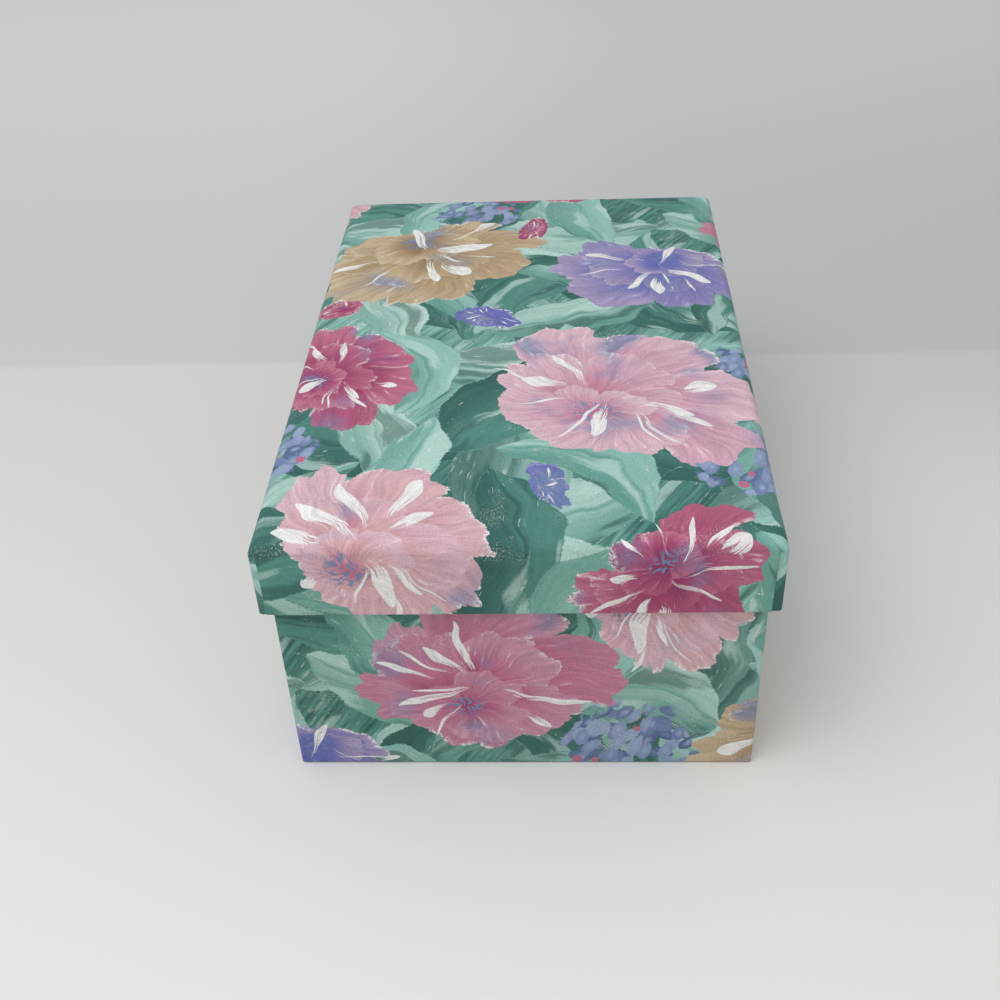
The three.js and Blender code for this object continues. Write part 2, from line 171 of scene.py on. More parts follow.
# Depth of each material's relief
WEAVE_RELIEF = 0.15 * MM
PILE_RELIEF = 0.25 * MM
SATIN_RELIEF = 0.08 * MM
FLEECE_RELIEF = 0.6 * MM
BOARD_RELIEF = 0.12 * MM
TAPE_RELIEF = 0.06 * MM
LINING_RELIEF = 0.05 * MM
SHEET_RELIEF = 0.06 * MM

# Stage and light, in metres
FLOOR_HALF = 5
# Painted shade on the floor: it darkens towards the seam, and beyond the seam a painted wall in
# shade lightens towards the far fade
SEAM_PLACE = 0.181
SEAM_WIDTH = 0.008
FADE_FRONT = -0.5
FADE_BACK = 0.9
KEY_PLACE = (-0.4, -0.52, 1.25)
KEY_TARGET = (0, 0, 0.06)
KEY_SIZE = 1.2
KEY_POWER = 9
WORLD_COLOUR = (0.97, 0.985, 1, 1)
HORIZON_STRENGTH = 0.3
OVERHEAD_STRENGTH = 0.75
BACKDROP_STRENGTH = 0.52
# A painted shadow on the floor: how much darker it is at most, and where across it starts and ends
RIGHT_PAINTED_SHADOW = 0.115
PAINTED_SHADOW_START = -0.25
PAINTED_SHADOW_END = 0.12

# Print and weave: sizes in millimetres of cloth, rates in radians per millimetre
THREAD_PITCH = 0.55
RIB_RATE = 9.0
PICK_RATE = 14.0
SELVEDGE_START = 6.1
SELVEDGE_END = 6.3
TILE_WIDTH = 320
TILE_HEIGHT = 384
WOBBLE = 12.0
RAGGEDNESS = 2.4
LEAF_BLUR = 0.3
PETAL_BLUR = 0.25
MARK_BLUR = 0.4
PALE_RIM = (3.4, 0.7)
THINNEST_MARK = (0.1, 0.3)


def linear(code):
    """An sRGB colour written as a hex number, as linear red, green, blue and alpha."""
    parts = [(code >> shift & 255) / 255 for shift in (16, 8, 0)]
    return [p / 12.92 if p <= 0.04045 else ((p + 0.055) / 1.055) ** 2.4 for p in parts] + [1]


DARK_TEAL = linear(0x285A53)
MID_TEAL = linear(0x5A9589)
AQUA = linear(0x9ECBC1)
PALE_AQUA = linear(0xC0DDD6)
WHITE = linear(0xEAEAE7)
PALE_PINK = linear(0xD8B6C3)
PINK = linear(0xC694A8)
ROSE = linear(0xBB6D88)
MAGENTA = linear(0x9E3F68)
WINE = linear(0x8A3460)
PERIWINKLE = linear(0x656AB0)
MAUVE = linear(0xA697B8)
SLATE = linear(0x6F83A9)
PALE_SLATE = linear(0x96A7C5)
DEEP_SLATE = linear(0x566B90)
TAN = linear(0xA68B68)
PALE_TAN = linear(0xC8B393)
BROWN = linear(0x8B6F4C)
PEACH = linear(0xCFA3A6)
KRAFT = linear(0xB08B5E)
GREY_BOARD = linear(0xA2978A)
BOARD_FLECK = linear(0x5E5750)
LINING_PINK = linear(0xE6C0C4)
LINING_FLECK = linear(0xF4E4E2)
SHEET_CREAM = linear(0xEAE3D8)
SHEET_FLECK = linear(0xC9BBA6)
# Velvet: its deep colour, and the pale colour of its sheen, used as the sheen tint and also as
# painted sheen in the colour
VELVET_ROSE = linear(0x8E4A62)
VELVET_PALE = linear(0xCB8FA0)
RIBBON_TEAL = linear(0x3F8576)
FLEECE_WHITE = linear(0xF5F3EE)
# Floor paper: its near tone, the painted shade at the seam, a painted wall in shade behind the
# seam, and that wall's lighter far tone
PAPER_NEAR = linear(0xEDECE7)
PAPER_PAINTED_SHADE_AT_SEAM = linear(0xDADAD7)
PAINTED_WALL_SHADE = linear(0xD0D0CF)
PAPER_FAR = linear(0xE9E9EA)


# Mesh helpers


def new_piece(name, points, rows, closed, material, body, slot, cloth=None):
    """A smooth-shaded piece from rows of points, on a body of the frame."""
    mesh = bpy.data.meshes.new(name)
    faces = ring_faces(rows, len(points) // rows, closed)
    mesh.from_pydata([tuple(p) for p in points], [], faces)
    mesh.polygons.foreach_set("use_smooth", [True] * len(mesh.polygons))
    if cloth is not None:
        layer = mesh.attributes.new("cloth", "FLOAT_VECTOR", "POINT")
        layer.data.foreach_set("vector", np.array(cloth, np.float32).ravel())
    return place_piece(name, mesh, material, body)


def placed(name, data):
    """An object of the scene that shows a mesh, a lamp or a camera."""
    thing = bpy.data.objects.new(name, data)
    bpy.context.scene.collection.objects.link(thing)
    return thing


def place_piece(name, mesh, material, body):
    """Puts a piece in the scene, on a body of the frame."""
    mesh.materials.append(material)
    piece = placed(name, mesh)
    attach(piece, body)
    return piece


def ring_faces(rows, count, closed):
    """Faces between rows of count points each, and a cap on each end of an open form."""
    faces = []
    for row in range(rows if closed else rows - 1):
        here, below = row * count, (row + 1) % rows * count
        for i in range(count):
            after = (i + 1) % count
            faces.append((here + i, below + i, below + after, here + after))
    if not closed:
        faces.append(tuple(range(count)))
        faces.append(tuple(reversed(range((rows - 1) * count, rows * count))))
    return faces


def fitted(radius, half, inset):
    """A corner radius that still fits between a row and the middle line."""
    return min(radius, LARGEST_RADIUS_SHARE * (half[0] - inset))


def turned(points, radius):
    """Rows of cloth that lie flat against a board, all with one corner radius."""
    return [(inset, z, radius, 0) for inset, z in points]


def run_lengths(rows):
    """Length along a profile to each of its rows."""
    steps = [math.dist(a[:2], b[:2]) for a, b in zip(rows, rows[1:])]
    return np.concatenate([[0], np.cumsum(steps)])


def arc(start):
    """The ways out at the points of a rounded corner, a quarter turn on from the start."""
    angles = np.linspace(start, start + QUARTER, CORNER_STEPS + 1)
    return [(math.cos(angle), math.sin(angle)) for angle in angles]


def quarter(inset, z, radius, start, end, steps):
    """Insets and heights round a quarter turn: angle 0 points out and a quarter turn up."""
    angles = np.linspace(start, end, steps + 1)
    return [(inset - radius * math.cos(a), z + radius * math.sin(a)) for a in angles]


def smooth(share):
    """A smooth step from 0 to 1."""
    share = max(0, min(1, share))
    return share * share * (3 - 2 * share)


def bell(away, width):
    """1 at a place, falling smoothly to almost nothing at about twice the width away."""
    return math.exp(-((away / width) ** 2))


def ripple(place):
    """How far glued cloth stands off or sinks in at a place on the flat cloth."""
    return RIPPLE * noise.noise(place / RIPPLE_SIZE)


# The lid's cloth


def lid_stations(half):
    """Points round the lid, anticlockwise from its back right corner: side shares or corner
    arcs. On an end, lap is the share by which the flap stands out over the fold, slide is
    the side that the loose fold leans to, gap is the distance to it, and pinch is how much
    of the pinch at its top a point takes."""
    stations = []

    def corner(x, y, start):
        stations.extend({"x": x, "y": y, "out": out} for out in arc(start))

    def end(y):
        """One end, from its tight corner to its loose one or back."""
        loose = -y
        wide = 1 - FOLD_SETBACK / half[0]
        tight = 1 - TIGHT_SETBACK / half[0]
        run = FOLD_RUN / half[0]
        row = [{"x": -loose * (tight + run)}]
        near = wide - PUCKER_RUN / half[0]
        plain = np.linspace(-tight, near, round(2 * half[0] / SIDE_PITCH))
        for share in [*plain, *np.linspace(near, wide, PUCKER_STEPS)[1:]]:
            row.append({"x": loose * share, "lap": 1, "gap": (wide - share) * half[0]})
        row[1]["lap"] = TIGHT_RISE_SHARE
        row[-1]["slide"] = loose
        row.append({"x": loose * (wide + run), "slide": loose, "pinch": 1})
        stations.extend({"y": y, "out": (0, y), **station} for station in row)

    def side(x):
        for share in np.linspace(-1, 1, round(2 * half[1] / SIDE_PITCH))[1:-1]:
            stations.append({"x": x, "y": x * share, "out": (x, 0)})

    corner(1, 1, 0)
    end(1)
    corner(-1, 1, QUARTER)
    side(-1)
    corner(-1, -1, 2 * QUARTER)
    end(-1)
    corner(1, -1, 3 * QUARTER)
    side(1)
    return stations


def lid_rows(half, top, bottom):
    """Inset, height, corner radius and lap share of each ring of points, from the middle of
    the lid's top, down the outside, round the hem, up the turn-in and back to the middle."""
    edge = top - EDGE_RADIUS
    foot = bottom + HEM_RADIUS
    turn = bottom + LID_TURN_IN
    rows = []

    def crown(depth):
        insets = np.arange(half[0] - CROWN_START, CROWN_STOP, -CROWN_PITCH)
        for inset in [half[0] - MIDDLE_GAP, *insets, CROWN_END]:
            rise = CROWN * smooth((inset - EDGE_RADIUS) / (CROWN_RUN - EDGE_RADIUS))
            yield inset, top - depth + rise

    def soft(points, depth):
        for inset, z in points:
            radius = LID_CORNER - depth + (inset - depth) * CORNER_SOFTNESS_SHARE
            rows.append((inset, z, fitted(radius, half, inset), 0))

    soft(crown(0), 0)
    soft(quarter(EDGE_RADIUS, edge, EDGE_RADIUS, QUARTER, 0, EDGE_STEPS), 0)
    heights = np.linspace(edge - RIM_START, foot, RIM_ROWS)[:-1]
    rows += [(0, z, LID_CORNER, min(1, i / LAP_ROWS)) for i, z in enumerate(heights)]
    hem = quarter(HEM_RADIUS, foot, HEM_RADIUS, 0, -QUARTER, HEM_STEPS)
    rows += [(inset, z, LID_CORNER, 1) for inset, z in hem]
    back = [(TURN_BACK - HEM_RADIUS, bottom), (TURN_BACK, foot), (TURN_BACK, turn)]
    rows += turned([*back, (TURN_FACE, turn), (TURN_FACE, bottom + CLOTH)], TURN_CORNER)
    rows += turned([(CLOTH, bottom + CLOTH)], LID_CORNER - CLOTH)
    soft(quarter(EDGE_RADIUS, edge, EDGE_RADIUS - CLOTH, 0, QUARTER, EDGE_STEPS), CLOTH)
    soft(reversed([*crown(CLOTH)]), CLOTH)
    return rows


def lid_cloth(material):
    """Printed cotton over the lid's top, folded at its corners and turned in below."""
    low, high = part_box("lid_cover_cloth")
    half = (high.x, high.y - CLOTH)
    top, bottom = high.z - CROWN, low.z
    rows = lid_rows(half, top, bottom)
    stations = lid_stations(half)
    lengths = run_lengths(rows)
    lengths -= lengths[next(i for i, row in enumerate(rows) if row[0] <= EDGE_RADIUS)]
    points, cloth = [], []
    for (inset, z, radius, lap), s in zip(rows, lengths):
        drop = top - z
        upright = inset < EDGE_RADIUS
        for station in stations:
            dx, dy = station["out"]
            x = station["x"] * (half[0] - inset - radius)
            y = station["y"] * (half[1] - inset - radius)
            slide = station.get("slide", 0)
            if slide and upright:
                share = max(0, min(1, drop / (top - bottom)))
                x = slide * (abs(x) + (FOLD_SETBACK - FOLD_SETBACK_TOP) * (1 - share))
            out = cloth_reach(station, inset, radius, lap, drop)
            tucked = s > EDGE_RADIUS + TUCK_DROP and abs(station["y"]) == 1
            place = flat_place(half, station, x, y, inset, radius, s, tucked)
            stand = ripple(place) * (1 if s < 2 * EDGE_RADIUS else RIM_RIPPLE_SHARE)
            outward, upward = (stand, 0) if upright else (0, stand)
            points.append((x + dx * (out + outward), y + dy * (out + outward), z + upward))
            cloth.append(place)
    form = points, len(rows), False
    piece = new_piece("lid_cloth", *form, material, "lid", "floral_cloth", cloth)
    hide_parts("lid_cover_cloth")
    drop = top - bottom + LID_TURN_IN


def cloth_reach(station, inset, radius, lap, drop):
    """How far out a point of the lid's cloth lies from the centre of its corner: the corner's
    radius and the lap of a flap, less the pinch in the loose fold and the pucker beside it."""
    rise = station.get("lap", 0) * lap * FOLD_RISE
    pinch = station.get("pinch", 0) * bell(drop - PINCH_DROP, PINCH_REACH)
    pinch *= inset < EDGE_RADIUS
    pucker = bell(station.get("gap", math.inf) - PUCKER_PLACE, PUCKER_WIDTH)
    pucker *= bell(drop - PUCKER_DROP, PUCKER_HEIGHT) * (inset == 0)
    return radius + rise - PINCH_DEPTH * pinch - PUCKER_DEPTH * pucker


def flat_place(half, station, x, y, inset, radius, s, tucked):
    """Where a point of the lid's covering lay on the flat cloth. Below the tuck, each corner
    and the tab beside it belong to the flap of the long side, which wraps round."""
    dx, dy = station["out"]
    if "lap" in station or not tucked:
        reach = radius + inset - EDGE_RADIUS + s
        return Vector((x + dx * reach, y + dy * reach, 0))
    wrap = radius * math.atan2(abs(dy), abs(dx)) + max(0, half[0] - inset - radius - abs(x))
    across = half[0] - EDGE_RADIUS + s
    along = half[1] - inset - radius + wrap
    return Vector((math.copysign(across, station["x"]), along * station["y"], 0))


# Cloth and pads that go round a rectangle


def round_stations(half):
    """Points round a rectangle, anticlockwise from the cloth's seam on the back: shares of
    its sides, the way out, and whether the upper end of the seam lies there."""
    seam = 1 - SEAM_LAP / half[0]
    bare = seam - FOLD_RUN / half[0]
    across = round(2 * half[0] / SIDE_PITCH)
    along = round(2 * half[1] / SIDE_PITCH)
    stations = []

    def corner(x, y, start):
        stations.extend((x, y, out, 0) for out in arc(start))

    stations += [(share, 1, (0, 1), 0) for share in np.linspace(bare, -1, across)[:-1]]
    corner(-1, 1, QUARTER)
    stations += [(-1, share, (-1, 0), 0) for share in np.linspace(1, -1, along)[1:-1]]
    corner(-1, -1, 2 * QUARTER)
    stations += [(share, -1, (0, -1), 0) for share in np.linspace(-1, 1, across)[1:-1]]
    corner(1, -1, 3 * QUARTER)
    stations += [(1, share, (1, 0), 0) for share in np.linspace(-1, 1, along)[1:-1]]
    corner(1, 1, 0)
    lapped = np.linspace(1 - FOLD_RUN / half[0], seam, SEAM_STEPS)
    stations += [(share, 1, (0, 1), 1) for share in lapped]
    return stations


def perimeter(stations, half, radius):
    """Length round the rectangle from the middle of its front to each station."""
    places = []
    for x, y, (dx, dy), _ in stations:
        places.append((x * (half[0] - radius) + dx * radius, y * (half[1] - radius) + dy * radius))
    along = run_lengths(places)
    front = [i for i, station in enumerate(stations) if station[2] == (0, -1)]
    middle = min(front, key=lambda i: abs(stations[i][0]))
    return along - along[middle] + places[middle][0]


def round_form(half, rows, stations):
    """Points of a form round a rectangle. Each row gives an inset, a height, a corner radius
    and how far the seam stands out there."""
    points = []
    for inset, z, radius, lap in rows:
        reach_x, reach_y = (side - inset - radius for side in half)
        for x, y, (dx, dy), over in stations:
            out = radius + over * lap
            points.append(Vector((x * reach_x + dx * out, y * reach_y + dy * out, z)))
    return points


def base_rows(top, bottom):
    """Inset, height, corner radius and lap of each ring of points, from the foot of the
    turn-in over the top edge, down the outside, under the base and back up inside."""
    turn = top - BASE_TURN_IN
    shoulder = quarter(HEM_RADIUS, top - HEM_RADIUS, HEM_RADIUS, QUARTER, 0, HEM_STEPS)
    foot = quarter(HEM_RADIUS, bottom + HEM_RADIUS, HEM_RADIUS, 0, -QUARTER, HEM_STEPS)
    heights = np.linspace(top - 2 * HEM_RADIUS, bottom + 2 * HEM_RADIUS, WALL_ROWS)
    wall = [(0, z) for z in heights]
    lip = [(TURN_BACK, top - HEM_RADIUS), (TURN_BACK - HEM_RADIUS, top)]
    turned_in = turned([(TURN_FACE, turn), (TURN_BACK, turn), *lip], TURN_CORNER)
    outside = [(inset, z, BASE_CORNER, CLOTH) for inset, z in [*shoulder, *wall, *foot]]
    under = [(BASE_TURN_UNDER, bottom), (BASE_TURN_UNDER, bottom + CLOTH)]
    inside = [(CLOTH, bottom + CLOTH), (CLOTH, top - CLOTH)]
    return [
        *turned_in,
        *outside,
        *turned(under, TURN_CORNER),
        *turned(inside, BASE_CORNER - CLOTH),
        *turned([(TURN_FACE, top - CLOTH)], TURN_CORNER),
    ]


def base_cloth(material):
    """Printed cotton round the base, turned in over its top edge and under its bottom."""
    low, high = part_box("base_cover_cloth")
    half = (high.x, -low.y)
    top, bottom = high.z, low.z
    rows = base_rows(top, bottom)
    stations = round_stations(half)
    points = round_form(half, rows, stations)
    around = perimeter(stations, half, BASE_CORNER)
    down = run_lengths(rows)
    down -= down[next(i for i, row in enumerate(rows) if row[3])]
    cloth = [Vector((u, top - s, 0)) + BASE_SHIFT for s in down for u in around]
    for i, point in enumerate(points):
        row, column = divmod(i, len(stations))
        if rows[row][0] == 0:
            fade = min(1, (top - point.z) / RIPPLE_FADE)
            out = stations[column][2]
            point += Vector((*out, 0)) * ripple(cloth[i]) * fade * BASE_RIPPLE_SHARE
    form = points, len(rows), True
    piece = new_piece("base_cloth", *form, material, "base", "floral_cloth", cloth)
    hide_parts("base_cover_cloth")


def tray_cloth(material):
    """Velvet round the tray, over its top edge and down inside to the floor's pad."""
    low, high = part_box("tray_cover_cloth")
    half = (high.x, high.y)
    top, bottom = high.z, low.z
    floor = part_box("tray_floor_pad")[1].z + GLUE
    back = TRAY_INNER + TRAY_CLOTH
    over = quarter(HEM_RADIUS, top - HEM_RADIUS, HEM_RADIUS, QUARTER, 0, HEM_STEPS)
    foot = quarter(HEM_RADIUS, bottom + HEM_RADIUS, HEM_RADIUS, 0, -QUARTER, HEM_STEPS)
    under = [(TRAY_TURN_UNDER, bottom), (TRAY_TURN_UNDER, bottom + TRAY_CLOTH)]
    inside = [(TRAY_CLOTH, bottom + TRAY_CLOTH), (TRAY_CLOTH, top - TRAY_CLOTH)]
    lining = [
        (TRAY_INNER, top - TRAY_CLOTH),
        (TRAY_INNER, floor),
        (back, floor),
        (back, top - HEM_RADIUS),
        (back - HEM_RADIUS, top),
    ]
    rows = [
        *turned([*over, *foot], BASE_CORNER),
        *turned(under, TURN_CORNER),
        *turned(inside, BASE_CORNER - TRAY_CLOTH),
        *turned(lining, TURN_CORNER),
    ]
    points = round_form(half, rows, round_stations(half))
    piece = new_piece("tray_velvet", points, len(rows), True, material, "tray", "velvet")
    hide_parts("tray_cover_cloth")


def slab(name, node, profile, material, body, slot):
    """A soft layer that fills its solid's box. The profile gives inset, height and corner
    radius from the middle of its top, round its edge, to the middle of its underside."""
    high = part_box(node)[1]
    half = (high.x, high.y)
    rows = [(inset, z, fitted(radius, half, inset), 0) for inset, z, radius in profile]
    points = round_form(half, rows, round_stations(half))
    piece = new_piece(name, points, len(rows), False, material, body, slot)
    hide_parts(node)


def tray_pad(material):
    """The tray's floor pad, which sinks in low waves."""
    low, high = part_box("tray_floor_pad")
    top = []
    for inset in np.linspace(high.x - MIDDLE_GAP, 2 * PAD_ROUND, PAD_ROWS):
        sink = PAD_SINK * (1 - math.cos(inset / PAD_WAVE)) / 2
        top.append((inset, high.z - sink, inset))
    edge = quarter(PAD_ROUND, high.z - PAD_ROUND, PAD_ROUND, QUARTER, -QUARTER, PAD_STEPS)
    side = [(inset, z, PAD_ROUND) for inset, z in edge if z > low.z + PAD_ROUND]
    foot = [(0, low.z + PAD_ROUND / 2, PAD_ROUND), (PAD_ROUND, low.z, PAD_ROUND)]
    profile = [*top, *side, *foot, (high.x - MIDDLE_GAP, low.z, MIDDLE_GAP)]
    slab("tray_pad", "tray_floor_pad", profile, material, "tray", "velvet")


def lid_wadding(material):
    """The lid's wadding, crowned and rounded at its edge under the cloth."""
    low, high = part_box("lid_wadding")
    round_edge = EDGE_RADIUS - BOARD_FACE
    profile = []
    for inset in np.linspace(high.x - MIDDLE_GAP, round_edge, WADDING_ROWS):
        fall = CROWN * (1 - smooth(inset / CROWN_RUN))
        profile.append((inset, high.z - fall, LID_CORNER + inset * CORNER_SOFTNESS_SHARE))
    shoulder = high.z - CROWN - round_edge
    for inset, z in quarter(round_edge, shoulder, round_edge, QUARTER, 0, EDGE_STEPS):
        profile.append((inset, max(z, low.z), LID_CORNER))
    profile.append((high.x - MIDDLE_GAP, low.z, MIDDLE_GAP))
    slab("lid_padding", "lid_wadding", profile, material, "lid", "wadding")


# The tray's fittings


def board_outline(start, end, bottom, top, notch, from_top):
    """Outline of an upright board. A notch, given by its two sides, runs to half its height."""
    outline = [(start, bottom), (end, bottom), (end, top), (start, top)]
    if notch:
        left, right = notch
        middle = (bottom + top) / 2
        if from_top:
            floor = middle - NOTCH_GAP / 2
            outline[3:3] = [(right, top), (right, floor), (left, floor), (left, top)]
        else:
            roof = middle + NOTCH_GAP / 2
            outline[1:1] = [(left, bottom), (left, roof), (right, roof), (right, bottom)]
    return outline


def divider(name, node, material, notch_at=None, from_top=False):
    """A board covered in velvet, rounded along its edges. The notch takes another board."""
    low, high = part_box(node)
    long_axis = 0 if high.x - low.x > high.y - low.y else 1
    thickness = low[1 - long_axis], high[1 - long_axis]
    notch = None
    if notch_at is not None:
        half_notch = (thickness[1] - thickness[0]) / 2 + NOTCH_GAP
        notch = notch_at - half_notch, notch_at + half_notch
    outline = board_outline(low[long_axis], high[long_axis], low.z, high.z, notch, from_top)
    form = bmesh.new()
    rings = []
    for across in thickness:
        places = [(a, across, z) if long_axis == 0 else (across, a, z) for a, z in outline]
        rings.append([form.verts.new(place) for place in places])
        form.faces.new(rings[-1])
    for i in range(len(outline)):
        after = (i + 1) % len(outline)
        form.faces.new((rings[0][i], rings[0][after], rings[1][after], rings[1][i]))
    bmesh.ops.recalc_face_normals(form, faces=form.faces)
    bmesh.ops.bevel(
        form, geom=form.edges[:], offset=DIVIDER_ROUND, segments=DIVIDER_ROUND_STEPS,
        profile=DIVIDER_BULGE_SHARE, affect="EDGES", clamp_overlap=True,
    )
    mesh = bpy.data.meshes.new(name)
    form.to_mesh(mesh)
    form.free()
    mesh.polygons.foreach_set("use_smooth", [True] * len(mesh.polygons))
    piece = place_piece(name, mesh, material, "tray")
    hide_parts(node)


def ring_roll(index, material):
    """A padded velvet roll, gathered at its ends."""
    node = f"ring_roll_{index}"
    low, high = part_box(node)
    middle = (low + high) / 2
    half_length = (high.x - low.x) / 2
    radius = (high.z - low.z) / 2 - ROLL_SWELL
    rows = [(x - half_length, share, pleat) for x, share, pleat in ROLL_END]
    for share in np.linspace(-1, 1, ROLL_ROWS)[1:-1]:
        x = share * (half_length - ROLL_END_RUN)
        rows.append((x, 1, ROLL_PLEAT_SHARE * abs(x / half_length) ** 8))
    rows += [(half_length - x, share, pleat) for x, share, pleat in reversed(ROLL_END)]
    angles = np.linspace(4 * QUARTER, 0, ROLL_STEPS + 1)[:-1]
    points = []
    for x, share, pleat in rows:
        for angle in angles:
            fold = pleat * (1 + math.cos(ROLL_PLEATS * angle)) / 2
            dy, dz = math.cos(angle), math.sin(angle)
            place = Vector((x, dy * radius, dz * radius + index))
            swell = ROLL_SWELL * noise.noise(place / ROLL_SWELL_SIZE)
            out = radius * share - ROLL_PLEAT_DEPTH * fold + swell * share
            points.append((middle.x + x, middle.y + dy * out, middle.z + dz * out))
    name = f"ring_pad_{index}"
    piece = new_piece(name, points, len(rows), False, material, "tray", "velvet")
    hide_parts(node)


def ribbon(side, material):
    """A loop of ribbon that hangs inside a long wall of the tray, to lift the tray by."""
    node = f"tray_ribbon_{side}"
    low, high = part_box(node)
    wall, inward = (low.x, 1) if side == "left" else (high.x, -1)
    bow = high.x - low.x - RIBBON / 2 - RIBBON_CAMBER
    drop = high.z - low.z - RIBBON
    width = high.y - low.y
    angles = np.linspace(0, 2 * QUARTER, RIBBON_ROWS)
    line = []
    for angle in angles:
        z = -RIBBON / 2 - drop * (1 - math.cos(angle)) / 2
        line.append((RIBBON / 2 + bow * math.sin(angle), z))
    lengths = run_lengths(line)
    shares = np.linspace(-1, 1, RIBBON_STEPS) * inward
    ring = [(share, 1) for share in shares] + [(share, -1) for share in reversed(shares)]
    points, cloth = [], []
    for i, (x, z) in enumerate(line):
        before, after = line[max(0, i - 1)], line[min(len(line) - 1, i + 1)]
        dx, dz = after[0] - before[0], after[1] - before[1]
        scale = math.hypot(dx, dz)
        for share, face in ring:
            camber = RIBBON_CAMBER * (1 - share * share) * math.sin(angles[i])
            rim = smooth((abs(share) - 1 + RIBBON_RIM_SHARE) / RIBBON_RIM_SHARE)
            off = camber + face * (RIBBON / 2 - (RIBBON / 2 - RIBBON_EDGE) * rim)
            across = wall + inward * (x - dz / scale * off)
            y = (low.y + high.y) / 2 + share * width / 2
            points.append((across, y, high.z + z + dx / scale * off))
            cloth.append((share * width / 2, lengths[i], 0))
    name = f"lift_ribbon_{side}"
    piece = new_piece(name, points, len(line), False, material, "tray", "ribbon", cloth)
    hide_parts(node)


# Node helpers


class Nodes:
    """Adds nodes to one tree. Each method returns the socket that carries its result."""

    def __init__(self, tree):
        self.tree = tree

    def add(self, kind, inputs=None, output=0, **settings):
        node = self.tree.nodes.new("ShaderNode" + kind)
        for name, value in settings.items():
            setattr(node, name, value)
        for key, value in (inputs or {}).items():
            self.feed(node.inputs[key], value)
        return node.outputs[output]

    def feed(self, socket, value):
        if isinstance(value, bpy.types.NodeSocket):
            self.tree.links.new(value, socket)
        elif value is not None:
            socket.default_value = value

    def math(self, operation, a, b=None, c=None, clamp=False):
        return self.add("Math", {0: a, 1: b, 2: c}, operation=operation, use_clamp=clamp)

    def plus(self, a, b):
        return self.math("ADD", a, b)

    def minus(self, a, b, clamp=False):
        return self.math("SUBTRACT", a, b, clamp=clamp)

    def times(self, a, b):
        return self.math("MULTIPLY", a, b)

    def over(self, a, b):
        return self.math("DIVIDE", a, b)

    def times_plus(self, a, b, c, clamp=False):
        """a times b, plus c."""
        return self.math("MULTIPLY_ADD", a, b, c, clamp)

    def vector(self, operation, a, b=None, c=None):
        output = "Value" if operation in ("LENGTH", "DOT_PRODUCT") else "Vector"
        return self.add("VectorMath", {0: a, 1: b, 2: c}, output, operation=operation)

    def stretched(self, vector, factors):
        return self.vector("MULTIPLY", vector, factors)

    def scale(self, vector, factor):
        return self.add("VectorMath", {0: vector, "Scale": factor}, operation="SCALE")

    def turn(self, vector, angle):
        inputs = {"Vector": vector, "Angle": angle}
        return self.add("VectorRotate", inputs, rotation_type="Z_AXIS")

    def split(self, vector):
        x = self.vector("DOT_PRODUCT", vector, (1, 0, 0))
        y = self.vector("DOT_PRODUCT", vector, (0, 1, 0))
        return x, y

    def parts(self, vector):
        return (*self.split(vector), self.vector("DOT_PRODUCT", vector, (0, 0, 1)))

    def join(self, x=0.0, y=0.0, z=0.0):
        return self.add("CombineXYZ", {0: x, 1: y, 2: z})

    def ramp(self, value, low, high):
        """A smooth step from 0 where the value is low to 1 where it is high."""
        inputs = {"Value": value, "From Min": low, "From Max": high}
        return self.add("MapRange", inputs, interpolation_type="SMOOTHSTEP")

    def mix(self, share, a, b, kind="RGBA", blend="MIX"):
        first = {"FLOAT": 2, "VECTOR": 4, "RGBA": 6}[kind]
        output = {"FLOAT": 0, "VECTOR": 1, "RGBA": 2}[kind]
        inputs = {0: share, first: a, first + 1: b}
        return self.add("Mix", inputs, output, data_type=kind, blend_type=blend)

    def noise(self, place, scale, detail=2.0, roughness=0.5):
        inputs = {"Vector": place, "Scale": scale, "Detail": detail, "Roughness": roughness}
        return self.add("TexNoise", inputs)

    def dice(self, place):
        """Four random numbers from 0 to 1, alike wherever the place is. All four have to be
        used, because the renderer holds room for an unused one through the whole shader."""
        value = self.add("TexWhiteNoise", {"Vector": place}, noise_dimensions="3D")
        node = self.add("SeparateColor", {"Color": value.node.outputs["Color"]}).node
        return (*node.outputs, value)

    def group(self, make, **values):
        """What a function makes with these values. Its nodes are made once, in a group that
        has its name, and used again each time."""
        node = self.tree.nodes.new("ShaderNodeGroup")
        node.node_tree = bpy.data.node_groups.get(make.__name__) or new_group(make, values)
        for name, value in values.items():
            self.feed(node.inputs[name], value)
        return tuple(node.outputs)


SOCKETS = {"VALUE": "NodeSocketFloat", "VECTOR": "NodeSocketVector", "RGBA": "NodeSocketColor"}
KINDS = {1: "VALUE", 3: "VECTOR", 4: "RGBA"}


def new_group(make, values):
    """A node group of what a function makes, with a socket for each of its values."""
    tree = bpy.data.node_groups.new(make.__name__, "ShaderNodeTree")

    def new_socket(name, side, value):
        kind = value.type if isinstance(value, bpy.types.NodeSocket) else KINDS[np.size(value)]
        tree.interface.new_socket(name, in_out=side, socket_type=SOCKETS[kind])

    for name, value in values.items():
        new_socket(name, "INPUT", value)
    entry = tree.nodes.new("NodeGroupInput").outputs
    made = make(Nodes(tree), **{name: entry[name] for name in values})
    for value in made:
        new_socket("made", "OUTPUT", value)
    leave = tree.nodes.new("NodeGroupOutput").inputs
    for index, value in enumerate(made):
        tree.links.new(value, leave[index])
    return tree


# The print: leaf strokes, petals and white strokes


